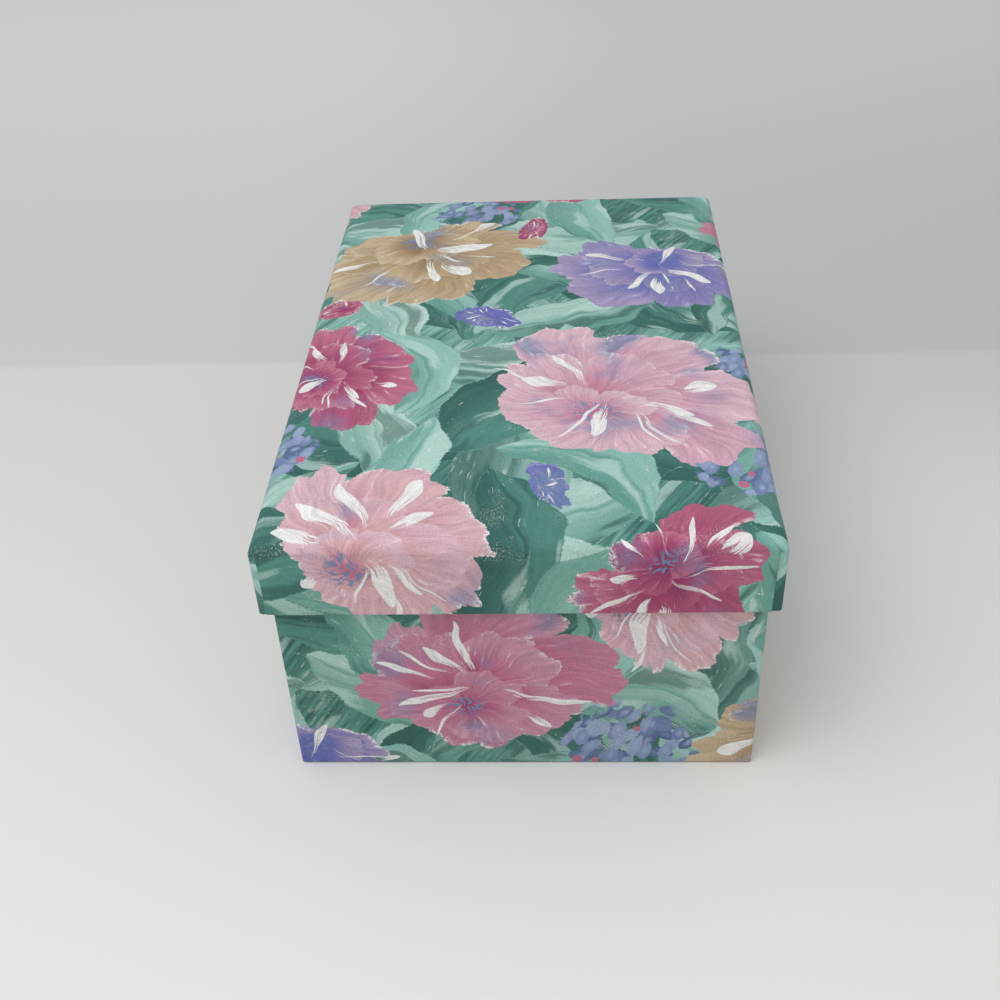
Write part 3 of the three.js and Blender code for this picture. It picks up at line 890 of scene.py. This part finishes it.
def leaf_strokes(n, low, high, strokes, place, ragged, seed, size, shift, lean, dark, light):
    """One curved leaf in each cell of a grid, laid over the dark tones, the pale tones and
    the brush strokes that are under it."""
    grid = n.vector("DIVIDE", n.vector("ADD", place, shift), size)
    cell = n.vector("FLOOR", grid)
    one, two, three, four = n.dice(n.vector("ADD", cell, seed))
    centred = n.vector("SUBTRACT", n.vector("SUBTRACT", grid, cell), (0.5, 0.5, 0))
    x, y = n.split(n.turn(n.scale(centred, size), n.times_plus(one, 1.7, lean)))
    along = n.over(x, n.times(size, 0.5))
    square = n.times(along, along)
    bend = n.times(n.times_plus(two, 0.6, -0.3), size)
    curved = n.times_plus(n.minus(square, 0.3), bend, y)
    taper = n.math("POWER", n.minus(1.0, square, clamp=True), 0.75)
    width = n.times(n.times(n.times_plus(three, 0.14, 0.12), size), taper)
    edge = n.plus(n.minus(width, n.math("ABSOLUTE", curved)), ragged)
    mask = n.ramp(edge, -LEAF_BLUR, LEAF_BLUR)
    side = n.over(curved, n.plus(width, 1.0))
    tone = n.times_plus(n.ramp(side, -0.7, 0.5), 0.7, n.times(four, 0.3))
    vein = n.times(n.ramp(side, 0.16, 0.02), n.ramp(side, -0.05, 0.0))
    tone = n.times_plus(vein, -0.4, tone)
    deep = n.mix(n.times(tone, 0.75), dark, light)
    pale = n.mix(n.times_plus(tone, 0.85, 0.12), dark, light)
    lines = n.join(curved, x, n.times(four, STROKE_SEED))
    strokes = n.mix(mask, strokes, lines, "VECTOR")
    return n.mix(mask, low, deep), n.mix(mask, high, pale), strokes


def sector(n, x, y, count, spin):
    """Cuts the round about a centre into sectors. Gives which one a place is in, how far
    across it the place lies, from -0.5 to 0.5, and how many sectors a radian holds."""
    per_radian = n.over(count, 2 * math.pi)
    around = n.times(n.plus(n.math("ARCTAN2", y, x), spin), per_radian)
    index = n.math("ROUND", around)
    return n.math("FLOORED_MODULO", index, count), n.minus(around, index), per_radian


def petal_ring(
    n, colour, strokes, away, size, reach, petals, fan, seed, tip, main, deep, ragged, bristle,
    cloud,
):
    """A ring of broad petals round a centre, with a broken white outline, laid over what is
    painted so far. Away is the place measured from the centre, as a share of the blossom's
    size in millimetres."""
    radius = n.vector("LENGTH", away)
    x, y = n.split(away)
    spin = n.times_plus(radius, 0.35, seed)
    index, across, per_radian = sector(n, x, y, petals, spin)
    one, two, three, four = n.dice(n.join(index, seed, 0.5))
    bow = n.math("POWER", n.times(n.math("ABSOLUTE", across), 2.0), 3.0)
    cut = n.minus(1.0, n.times(bow, 0.2))
    phase = n.times(four, 6.0)
    wave = n.math("SINE", n.times_plus(across, 9.0, phase))
    cut = n.times_plus(n.math("ABSOLUTE", wave), 0.07, cut)
    lean = n.times(n.over(y, radius), fan)
    length = n.plus(n.times_plus(one, 0.32, 0.7), lean)
    limit = n.times(n.times(length, cut), reach)
    share = n.over(radius, limit)
    edge = n.times(n.minus(1.0, share), n.times(limit, size))
    edge = n.plus(edge, n.times_plus(bristle, 9.0, ragged))
    mask = n.ramp(edge, -PETAL_BLUR, PETAL_BLUR)
    petal = n.mix(n.ramp(share, 0.05, 0.5), deep, main)
    tipped = n.times(n.ramp(share, 0.35, 0.95), n.times_plus(two, 0.7, 0.3))
    petal = n.mix(tipped, petal, tip)
    under = n.times(n.ramp(across, 0.0, 0.5), n.ramp(share, 1.0, 0.25))
    petal = n.mix(n.times(under, n.times_plus(three, 0.7, 0.3)), petal, deep)
    petal = n.mix(n.times(cloud, n.times_plus(three, 0.6, 0.2)), petal, SLATE)
    lip = n.times(n.ramp(across, -0.43, -0.5), n.ramp(share, 0.3, 0.8))
    lip = n.times(n.times(lip, n.ramp(bristle, 0.0, 0.06)), 0.6)
    petal = n.mix(n.times(lip, n.ramp(one, 0.4, 0.9)), petal, WHITE)
    rim = n.times(n.ramp(edge, *PALE_RIM), n.ramp(ragged, -0.3, 0.3))
    rim = n.times(n.times(rim, n.ramp(bristle, -0.03, 0.05)), n.times(reach, reach))
    petal = n.mix(n.times(rim, n.ramp(three, 0.2, 0.7)), petal, WHITE)
    sidelong = n.over(n.times(across, size), per_radian)
    streaks = n.join(sidelong, n.times(radius, size), phase)
    return n.mix(mask, colour, petal), n.mix(mask, strokes, streaks, "VECTOR")


def white_marks(n, colour, away, size, count, nearest, seed):
    """White brush marks that point at the centre: blunt outside, dry at their inner end."""
    radius = n.vector("LENGTH", away)
    x, y = n.split(away)
    index, across, per_radian = sector(n, x, y, count, seed)
    one, two, three, four = n.dice(n.join(index, seed, 0.7))
    start = n.times_plus(one, 0.42, nearest)
    length = n.times_plus(two, 0.5, 0.22)
    inward = n.over(n.minus(start, radius), length)
    bend = n.times(n.times(n.minus(three, 0.5), 0.9), n.times(inward, inward))
    drift = n.times(n.minus(two, 0.5), 0.4)
    off = n.minus(n.plus(across, n.times(bend, 0.2)), drift)
    reach = n.times(radius, size)
    off = n.times(n.over(off, per_radian), reach)
    broad = n.times(three, three)
    wide = n.times(n.times_plus(broad, 0.1, 0.014), size)
    blunt = n.math("POWER", n.ramp(inward, 0.0, 0.34), 0.3)
    body = n.times(wide, n.times(blunt, n.ramp(inward, 1.3, 0.3)))
    lines = n.noise(n.join(off, n.times(reach, 0.05), index), 1.5, 2.0, 0.7)
    dry = n.minus(lines, n.times_plus(inward, 0.42, 0.16))
    mask = n.ramp(n.minus(body, n.math("ABSOLUTE", off)), 0.0, MARK_BLUR)
    mask = n.times(n.times(mask, n.ramp(dry, 0.0, 0.08)), n.ramp(body, *THINNEST_MARK))
    side = n.math("SINE", n.over(index, per_radian))
    mask = n.times(mask, n.ramp(n.times_plus(side, 0.3, four), 0.45, 0.47))
    return (n.mix(n.times(mask, 0.94), colour, WHITE),)


# Leaf layers: cell size, shift across and up, lean, dark colour and light colour
LEAF_LAYERS = [
    (128, 11, 13, 0.2, DARK_TEAL, MID_TEAL),
    (104, 43, -19, -1.1, MID_TEAL, PALE_AQUA),
    (116, 61, 42, 0.9, DARK_TEAL, AQUA),
    (84, 20, 26, -0.4, MID_TEAL, PALE_AQUA),
    (96, 52, 5, 1.6, DARK_TEAL, MID_TEAL),
    (74, 9, -11, 0.5, MID_TEAL, AQUA),
]

# Clusters of small flowers: across, up and radius
CLUSTERS = [(-128, 68, 30), (-26, 128, 24), (86, -98, 24), (96, -30, 20), (-98, -86, 22)]

# Dabs of a cluster: how far each set is turned, its deep and its pale colour
DAB_LAYERS = [
    (0.5, DEEP_SLATE, SLATE),
    (-0.8, DEEP_SLATE, PALE_SLATE),
    (1.9, SLATE, PALE_SLATE),
]
DAB_SCALE = (0.09, 0.16, 1)

# Blossoms that lie behind: across, up, radius, turn, height share, fan, petals, and the
# colours from the tip inwards
BACK_BLOSSOMS = [
    (36, -52, 66, 0.5, 0.78, 0.1, 7, PALE_PINK, PINK, ROSE),
    (-50, 82, 62, 2.8, 0.72, 0.3, 8, PALE_TAN, TAN, BROWN),
    (16, 162, 44, 0.1, 0.7, 0.0, 6, ROSE, MAGENTA, WINE),
    (-52, -146, 54, 0.8, 0.8, 0.15, 7, PALE_PINK, PEACH, ROSE),
    (132, 104, 56, 0.3, 0.8, 0.1, 6, PINK, ROSE, MAGENTA),
]

# Blossoms and buds that lie in front, written alike
FRONT_BLOSSOMS = [
    (-78, -30, 44, 1.1, 0.8, 0.0, 6, ROSE, MAGENTA, WINE),
    (62, 62, 50, 3.6, 0.76, 0.3, 7, MAUVE, PERIWINKLE, PERIWINKLE),
    (54, -158, 42, 2.6, 0.75, 0.1, 6, ROSE, MAGENTA, WINE),
    (-122, 146, 48, 1.2, 0.75, 0.2, 7, PALE_PINK, PEACH, PINK),
    (-16, 16, 17, 0.4, 0.55, 0.0, 3, PERIWINKLE, PERIWINKLE, MAUVE),
    (2, 104, 15, 1.9, 0.5, 0.0, 3, MAGENTA, ROSE, WINE),
    (10, -114, 16, 1.2, 0.55, 0.0, 3, PERIWINKLE, SLATE, MAUVE),
    (-84, 26, 13, 2.4, 0.6, 0.0, 3, ROSE, MAGENTA, WINE),
]

# Rings of petals in a blossom, from the outside in, as shares of its radius
RING_SHARES = (1.0, 0.7, 0.4)
RING_SHIFT_SHARE = 0.13
LARGEST_BLOSSOM = 72
MOST_PETALS = 10
LARGEST_TURN = 4

# White marks: how many round a blossom, and the least distance of their ends as a share
MARK_RINGS = [(8, 0.34), (10, 0.44)]

# Factors that give each layer, blossom, ring and set of marks random draws of its own
LEAF_SEED = 7.3
PETAL_SEED = 3.7
RING_SEED = 1.3
MARK_SEED = 1.9
MARK_RING_SEED = 0.37
STROKE_SEED = 900.0


def small_flowers(n, colour, place, ragged):
    """Lays clusters of small slate petals, one set of dabs over another, and red dots."""
    away, _ = nearest_blossom(n, place, CLUSTERS)
    spread = n.times_plus(n.noise(place, 0.09, 2.0), 0.9, n.vector("LENGTH", away))
    inside = n.ramp(spread, 1.35, 1.25)
    for turn, deep, pale in DAB_LAYERS:
        slender = n.stretched(n.turn(place, turn), DAB_SCALE)
        dabs = n.add("TexVoronoi", {"Vector": slender, "Scale": 1.0}, voronoi_dimensions="2D").node
        size = n.times_plus(ragged, 0.09, dabs.outputs["Distance"])
        tone = n.vector("DOT_PRODUCT", dabs.outputs["Color"], (0.5, 0.5, 0))
        paint = n.mix(n.ramp(tone, 0.2, 0.8), deep, pale)
        paint = n.mix(n.ramp(size, 0.3, 0.0), paint, pale)
        present = n.ramp(n.vector("DOT_PRODUCT", dabs.outputs["Color"], (0, 0, 1)), 0.25, 0.27)
        mask = n.times(n.times(inside, present), n.ramp(size, 0.46, 0.4))
        colour = n.mix(mask, colour, paint)
    dots = n.add("TexVoronoi", {"Vector": place, "Scale": 0.085}).node.outputs["Distance"]
    dots = n.ramp(n.times_plus(ragged, 0.04, dots), 0.2, 0.16)
    return n.mix(n.times(inside, dots), colour, ROSE)


def nearest_blossom(n, place, blossoms):
    """The place measured from the nearest centre, as a share of that blossom's radius, and
    which blossom that is."""
    tile = (TILE_WIDTH / 2, TILE_HEIGHT / 2, 1)
    back = tuple(-t for t in tile)
    away, which, least = None, 0.0, 1000.0
    for index, (x, y, radius, *_) in enumerate(blossoms):
        offset = n.vector("WRAP", n.vector("SUBTRACT", place, (x, y, 0)), tile, back)
        offset = n.scale(offset, 1 / radius)
        distance = n.vector("LENGTH", offset)
        nearer = n.math("LESS_THAN", distance, least)
        away = n.mix(nearer, away, offset, "VECTOR")
        which = n.mix(nearer, which, float(index), "FLOAT")
        least = n.math("MINIMUM", distance, least)
    return away, which


def chosen(n, which, values):
    """The colour, or three shares, that belong to the chosen blossom."""
    place = n.over(n.plus(which, 0.5), float(len(values)))
    node = n.add("ValToRGB", {0: place}).node
    ramp = node.color_ramp
    ramp.interpolation = "CONSTANT"
    while len(ramp.elements) < len(values):
        ramp.elements.new(1.0)
    for index, value in enumerate(values):
        ramp.elements[index].position = index / len(values)
        ramp.elements[index].color = value
    return node.outputs[0]


def painted_blossoms(n, painted, place, blossoms, brush):
    """Lays the blossoms over what is painted so far: its colour and its brush strokes."""
    away, which = nearest_blossom(n, place, blossoms)
    shapes = [(b[3] / LARGEST_TURN, b[4], b[5], 1) for b in blossoms]
    sizes = [(b[2] / LARGEST_BLOSSOM, b[6] / MOST_PETALS, 0, 1) for b in blossoms]
    turn, height, fan = n.parts(chosen(n, which, shapes))
    radius, petals = n.split(chosen(n, which, sizes))
    size = n.times(radius, LARGEST_BLOSSOM)
    tip, main, deep = (chosen(n, which, [b[i] for b in blossoms]) for i in (7, 8, 9))
    away = n.turn(away, n.times(turn, LARGEST_TURN))
    away = n.stretched(away, n.join(1.0, n.over(1.0, height), 0.0))
    petals = n.math("ROUND", n.times(petals, MOST_PETALS))
    colour, strokes = painted
    for step, reach in enumerate(RING_SHARES):
        toward = n.vector("ADD", away, (0, step * RING_SHIFT_SHARE, 0))
        count = n.math("MAXIMUM", n.minus(petals, step), 3.0)
        seed = n.times_plus(which, PETAL_SEED, step * RING_SEED)
        colour, strokes = n.group(
            petal_ring, colour=colour, strokes=strokes, away=toward, size=size, reach=reach,
            petals=count, fan=fan, seed=seed, tip=tip, main=main, deep=deep, **brush,
        )
    heart = n.ramp(n.vector("LENGTH", toward), 0.2, 0.07)
    dots = n.ramp(n.noise(place, 0.55, 1.0), 0.5, 0.56)
    colour = n.mix(n.times(heart, dots), colour, SLATE)
    for count, nearest in MARK_RINGS:
        seed = n.times_plus(which, MARK_SEED, count * MARK_RING_SEED)
        (colour,) = n.group(
            white_marks, colour=colour, away=away, size=size, count=count, nearest=nearest,
            seed=seed,
        )
    return colour, strokes


def painted_leaves(n, place, wavy, ragged, bristle):
    """Leaves over a field of teal, streaked and accented along the strokes of the brush."""
    field = n.ramp(n.noise(place, 0.014, 1.0), 0.4, 0.6)
    low = n.mix(field, DARK_TEAL, MID_TEAL)
    high = n.mix(field, MID_TEAL, AQUA)
    strokes = n.turn(place, 0.6)
    for index, (size, x, y, lean, dark, light) in enumerate(LEAF_LAYERS):
        low, high, strokes = n.group(
            leaf_strokes, low=low, high=high, strokes=strokes, place=wavy, ragged=ragged,
            seed=index * LEAF_SEED, size=size, shift=(x, y, 0), lean=lean, dark=dark,
            light=light,
        )
    streak = n.noise(n.stretched(strokes, (0.5, 0.03, 1)), 1.0, 3.0, 0.6)
    colour = n.mix(n.ramp(streak, 0.27, 0.73), low, high)
    accent = n.noise(n.stretched(strokes, (0.085, 0.016, 1)), 1.0, 3.0, 0.5)
    accent = n.times_plus(ragged, 0.015, accent)
    colour = n.mix(n.times(n.ramp(accent, 0.54, 0.62), 0.65), colour, DARK_TEAL)
    colour = n.mix(n.times(n.ramp(accent, 0.43, 0.36), 0.55), colour, PALE_AQUA)
    hairs = n.noise(n.stretched(strokes, (1.3, 0.05, 1)), 1.0, 2.0, 0.6)
    hairs = n.times(n.ramp(hairs, 0.6, 0.67), n.ramp(bristle, 0.05, 0.11))
    return n.mix(n.times(hairs, 0.5), colour, WHITE)


def dry_brushed(n, colour, strokes, place, bristle):
    """Streaks along the strokes of the brush, dry places and sponged patches."""
    streak = n.noise(n.stretched(strokes, (0.3, 0.05, 1)), 1.0, 2.0, 0.55)
    light = n.times_plus(n.minus(streak, 0.5), 0.75, 1.0)
    colour = n.mix(1.0, colour, light, blend="MULTIPLY")
    dry = n.times(n.ramp(streak, 0.6, 0.74), n.ramp(bristle, 0.0, 0.1))
    colour = n.mix(n.times(dry, 0.5), colour, WHITE)
    sponge = n.times(n.ramp(n.noise(place, 1.3, 2.0, 0.7), 0.52, 0.62), 0.28)
    patches = n.ramp(n.noise(place, 0.045, 2.0), 0.54, 0.7)
    return n.mix(n.times(sponge, patches), colour, WHITE)


def print_colour(n, place):
    """The painted colour of the cloth at a place in millimetres."""
    wobble = n.add("TexNoise", {"Vector": place, "Scale": 0.05, "Detail": 1.0}, "Color")
    wobble = n.scale(n.vector("SUBTRACT", wobble, (0.5, 0.5, 0.5)), WOBBLE)
    wavy = n.stretched(n.vector("ADD", place, wobble), (1, 1, 0))
    ragged = n.minus(n.noise(place, 0.8, 2.0, 0.6), 0.5)
    ragged = n.times(ragged, RAGGEDNESS)
    bristle = n.minus(n.noise(wavy, 0.14, 3.0, 0.55), 0.5)
    cloud = n.ramp(n.noise(place, 0.035, 2.0), 0.52, 0.7)
    colour = painted_leaves(n, place, wavy, ragged, bristle)
    colour = small_flowers(n, colour, place, ragged)
    specks = n.times(n.ramp(ragged, 0.5, 0.62), n.ramp(bristle, 0.1, 0.14))
    painted = n.mix(specks, colour, WHITE), (0.0, 0.0, 0.0)
    brush = {"ragged": ragged, "bristle": bristle, "cloud": cloud}
    for blossoms in (BACK_BLOSSOMS, FRONT_BLOSSOMS):
        painted = painted_blossoms(n, painted, wavy, blossoms, brush)
    return dry_brushed(n, *painted, place, bristle)


def woven(n, place):
    """The relief of a plain weave with uneven threads, from 0 to 1."""
    crossings = n.scale(place, 2 * math.pi / THREAD_PITCH)
    x, y = n.split(n.vector("SINE", crossings))
    over = n.times(x, y)
    weft = n.noise(n.stretched(place, (0.3, 2.4, 1.0)), 1.0, 2.0, 0.7)
    warp = n.noise(n.stretched(place, (2.4, 0.3, 1.0)), 1.0, 2.0, 0.7)
    uneven = n.plus(weft, warp)
    return n.times_plus(over, 0.12, n.times(uneven, 0.5))


def solid_place(n):
    """The place on a solid or a pad, in millimetres."""
    return n.scale(n.add("TexCoord", output="Object"), 1 / MM)


def cloth_place(n):
    """The place on the flat cloth, in millimetres."""
    return n.scale(n.add("Attribute", output="Vector", attribute_name="cloth"), 1 / MM)


def shaded(n, shader, colour, shade):
    """Paints the surface in a colour, made lighter and darker by a shade."""
    n.feed(shader.inputs["Base Color"], n.mix(1.0, colour, shade, blend="MULTIPLY"))


def raised(n, shader, height, strength, distance):
    """Gives the surface a fine relief."""
    bump = n.add("Bump", {"Height": height, "Strength": strength, "Distance": distance})
    n.feed(shader.inputs["Normal"], bump)


def floral_cloth():
    """Printed cotton: the painted colour, the speckle of its ink and the weave."""
    material, n, shader = new_material(
        "printed_cotton", {"Roughness": 0.72, "Sheen Weight": 0.05, "Specular IOR Level": 0.3}
    )
    place = cloth_place(n)
    colour = print_colour(n, place)
    threads = woven(n, place)
    speckle = n.noise(place, 1.9, 1.0)
    shade = n.times_plus(n.minus(threads, 0.5), 0.9, 1.0)
    shade = n.times_plus(n.minus(speckle, 0.5), 0.4, shade)
    shaded(n, shader, colour, shade)
    raised(n, shader, threads, 0.35, WEAVE_RELIEF)
    return material


def new_material(name, settings):
    """A material with its nodes and its shader, whose sockets are set by name."""
    material = bpy.data.materials.new(name)
    material.use_nodes = True
    shader = material.node_tree.nodes["Principled BSDF"]
    for socket, value in settings.items():
        shader.inputs[socket].default_value = value
    return material, Nodes(material.node_tree), shader


def fibrous(name, base, fleck, roughness, relief, cloudiness):
    """Pressed fibres, as in board and paper: cloudy pulp, short fibres that lie two ways and
    flecks of another colour."""
    material, n, shader = new_material(name, {"Roughness": roughness})
    place = solid_place(n)
    cloud = n.noise(place, 0.12, 4.0, 0.6)
    one_way = n.noise(n.stretched(place, (3.0, 0.5, 3.0)), 1.1, 3.0, 0.6)
    other_way = n.noise(n.stretched(place, (0.5, 3.0, 3.0)), 1.1, 3.0, 0.6)
    fibres = n.times(n.plus(one_way, other_way), 0.5)
    flecks = n.ramp(n.noise(place, 1.6, 1.0), 0.68, 0.74)
    shade = n.times_plus(cloud, cloudiness, 1 - cloudiness / 2)
    shade = n.times(shade, n.times_plus(fibres, 0.35, 0.83))
    colour = n.mix(1.0, base, shade, blend="MULTIPLY")
    colour = n.mix(n.times(flecks, 0.6), colour, fleck)
    n.feed(shader.inputs["Base Color"], colour)
    raised(n, shader, fibres, 0.6, relief)
    return material


def kraft_tape():
    """Gummed kraft paper with the fine ribs of its making."""
    material, n, shader = new_material("ribbed_kraft", {"Roughness": 0.6})
    place = solid_place(n)
    height = n.vector("DOT_PRODUCT", place, (0, 0, 1))
    ribs = n.math("SINE", n.times(height, RIB_RATE))
    fibres = n.noise(n.stretched(place, (2.5, 2.5, 0.4)), 1.2, 3.0, 0.6)
    cloud = n.noise(place, 0.2, 3.0)
    shade = n.times_plus(fibres, 0.4, n.times_plus(cloud, 0.3, 0.62))
    shade = n.times_plus(ribs, 0.03, shade)
    shaded(n, shader, KRAFT, shade)
    raised(n, shader, n.times_plus(ribs, 0.3, fibres), 0.5, TAPE_RELIEF)
    return material


def velvet(name, deep, pale):
    """Short pile that leans in broad patches, with painted sheen: paler where it leans, and random
    tone in its pile and tufts.
    """
    sheen = {"Sheen Weight": 0.7, "Sheen Roughness": 0.35, "Sheen Tint": pale}
    material, n, shader = new_material(name, {"Roughness": 0.9, **sheen})
    place = solid_place(n)
    # Painted sheen: the pale colour laid over broad patches where the pile leans; the pile and
    # tufts add random tone
    sheen_patches = n.noise(n.stretched(place, (1.0, 1.6, 1.3)), 0.035, 2.0, 0.5)
    pile = n.noise(place, 3.2, 2.0, 0.7)
    tufts = n.noise(place, 0.9, 2.0, 0.6)
    share = n.times_plus(pile, 0.45, n.times_plus(tufts, 0.3, -0.1))
    share = n.times_plus(n.ramp(sheen_patches, 0.3, 0.7), 0.35, share, clamp=True)
    n.feed(shader.inputs["Base Color"], n.mix(share, deep, pale))
    raised(n, shader, n.times_plus(tufts, 0.6, pile), 0.7, PILE_RELIEF)
    return material


def satin_ribbon():
    """Satin with fine lengthwise threads and a firm woven edge."""
    settings = {"Roughness": 0.34, "Anisotropic": 0.6, "Sheen Weight": 0.3}
    material, n, shader = new_material("satin_weave", settings)
    cloth = cloth_place(n)
    across, along = n.split(cloth)
    threads = n.noise(n.stretched(cloth, (7.0, 0.35, 1.0)), 1.0, 2.0, 0.6)
    edge = n.ramp(n.math("ABSOLUTE", across), SELVEDGE_START, SELVEDGE_END)
    picks = n.times(n.math("SINE", n.times(along, PICK_RATE)), edge)
    shade = n.times_plus(picks, 0.12, n.times_plus(threads, 0.5, 0.75))
    colour = n.mix(n.times(edge, 0.25), RIBBON_TEAL, DARK_TEAL)
    shaded(n, shader, colour, shade)
    raised(n, shader, n.times_plus(picks, 0.5, threads), 0.35, SATIN_RELIEF)
    return material


def fleece():
    """Matted white fibres."""
    settings = {"Roughness": 1.0, "Sheen Weight": 0.4}
    material, n, shader = new_material("matted_fibre", settings)
    place = solid_place(n)
    clumps = n.noise(place, 0.25, 4.0, 0.7)
    hairs = n.noise(n.stretched(place, (2.2, 0.6, 1.5)), 0.9, 4.0, 0.75)
    shade = n.times_plus(clumps, 0.25, n.times_plus(hairs, 0.3, 0.68))
    shaded(n, shader, FLEECE_WHITE, shade)
    raised(n, shader, n.plus(clumps, hairs), 0.8, FLEECE_RELIEF)
    return material


# Camera, lights and stage


def camera():
    """The camera of the reference picture."""
    data = bpy.data.cameras.new("camera")
    data.lens = CAMERA_LENS
    data.sensor_width = CAMERA_SENSOR
    eye = placed("camera", data)
    turn = Matrix.Rotation(CAMERA_YAW, 4, "Z") @ Matrix.Rotation(CAMERA_ROLL, 4, "Y")
    turn = turn @ Matrix.Rotation(CAMERA_PITCH + QUARTER, 4, "X")
    eye.matrix_world = Matrix.Translation(CAMERA_PLACE) @ turn
    bpy.context.scene.camera = eye


def lamp():
    """One large soft lamp, up and to the left in front."""
    data = bpy.data.lights.new("key", "AREA")
    data.shape = "DISK"
    data.size = KEY_SIZE
    data.energy = KEY_POWER
    light = placed("key", data)
    light.location = KEY_PLACE
    aim = Vector(KEY_TARGET) - Vector(KEY_PLACE)
    light.rotation_euler = aim.to_track_quat("-Z", "Y").to_euler()


def shade_painted_floor():
    """Pale paper with painted shade: darker towards a seam behind the chest, beyond which a
    painted wall in shade lightens further back, and a painted shadow on the right behind the
    chest.
    """
    material, n, shader = new_material("shade_painted_floor", {"Roughness": 0.9})
    place = n.add("TexCoord", output="Object")
    x, y = n.split(place)
    # Painted shade: darker towards the seam, and behind it a painted wall in shade that lightens
    # further back
    front = n.mix(n.ramp(y, SEAM_PLACE, FADE_FRONT), PAPER_PAINTED_SHADE_AT_SEAM, PAPER_NEAR)
    behind = n.mix(n.ramp(y, SEAM_PLACE, FADE_BACK), PAINTED_WALL_SHADE, PAPER_FAR)
    colour = n.mix(n.ramp(y, SEAM_PLACE - SEAM_WIDTH, SEAM_PLACE), front, behind)
    grain = n.minus(n.noise(place, 900.0, 3.0, 0.6), 0.5)
    # Painted shadow: darker to the right, behind the chest
    painted_shadow = n.ramp(x, PAINTED_SHADOW_START, PAINTED_SHADOW_END)
    painted_shadow = n.times(painted_shadow, n.ramp(y, 0.0, SEAM_PLACE))
    shade = n.times_plus(grain, 0.04, 1.0)
    shade = n.times_plus(painted_shadow, -RIGHT_PAINTED_SHADOW, shade)
    shaded(n, shader, colour, shade)
    return material


def stage():
    """A square floor."""
    corners = [(-1, -1), (1, -1), (1, 1), (-1, 1)]
    points = [(x * FLOOR_HALF, y * FLOOR_HALF, 0) for x, y in corners]
    mesh = bpy.data.meshes.new("floor")
    mesh.from_pydata(points, [], [(0, 1, 2, 3)])
    mesh.materials.append(shade_painted_floor())
    placed("floor", mesh)


def soft_sky():
    """Light from all round that is stronger from above. The camera sees it as one tone."""
    world = bpy.data.worlds.new("world")
    bpy.context.scene.world = world
    world.use_nodes = True
    sky = Nodes(world.node_tree)
    height = sky.vector("DOT_PRODUCT", sky.add("TexCoord", output="Generated"), (0, 0, 1))
    light = sky.mix(height, HORIZON_STRENGTH, OVERHEAD_STRENGTH, "FLOAT")
    seen = sky.add("LightPath", output="Is Camera Ray")
    light = sky.mix(seen, light, BACKDROP_STRENGTH, "FLOAT")
    background = world.node_tree.nodes["Background"]
    background.inputs["Color"].default_value = WORLD_COLOUR
    sky.feed(background.inputs["Strength"], light)


def cad_materials():
    """Gives each solid that stays in view the material of its own slot."""
    finishes = {
        "greyboard": fibrous("pressed_board", GREY_BOARD, BOARD_FLECK, 0.9, BOARD_RELIEF, 0.3),
        "kraft_tape": kraft_tape(),
        "lining_paper": fibrous("rose_paper", LINING_PINK, LINING_FLECK, 0.55, LINING_RELIEF, 0.1),
        "bottom_paper": fibrous("cream_paper", SHEET_CREAM, SHEET_FLECK, 0.75, SHEET_RELIEF, 0.12),
    }
    for part in frame["record"]["subparts"]:
        finish = finishes.get(part["material_slot"])
        if finish:
            node = frame["nodes"][part["node"]]
            node.data.materials.clear()
            node.data.materials.append(finish)


camera()
stage()
soft_sky()
lamp()
cad_materials()
floral = floral_cloth()
rose = velvet("rose_velvet", VELVET_ROSE, VELVET_PALE)
satin = satin_ribbon()
lid_wadding(fleece())
lid_cloth(floral)
base_cloth(floral)
tray_cloth(rose)
tray_pad(rose)
crossing = sum(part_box("tray_divider_rear")[i].y for i in (0, 1)) / 2
divider("bay_divider", "tray_divider_ring_bay", rose)
divider("cross_divider", "tray_divider_rear", rose, notch_at=0)
divider("middle_divider", "tray_divider_long", rose, notch_at=crossing, from_top=True)
for index in range(1, ROLL_COUNT + 1):
    ring_roll(index, rose)
for side in ("left", "right"):
    ribbon(side, satin)

bpy.context.scene.view_settings.view_transform = "Standard"
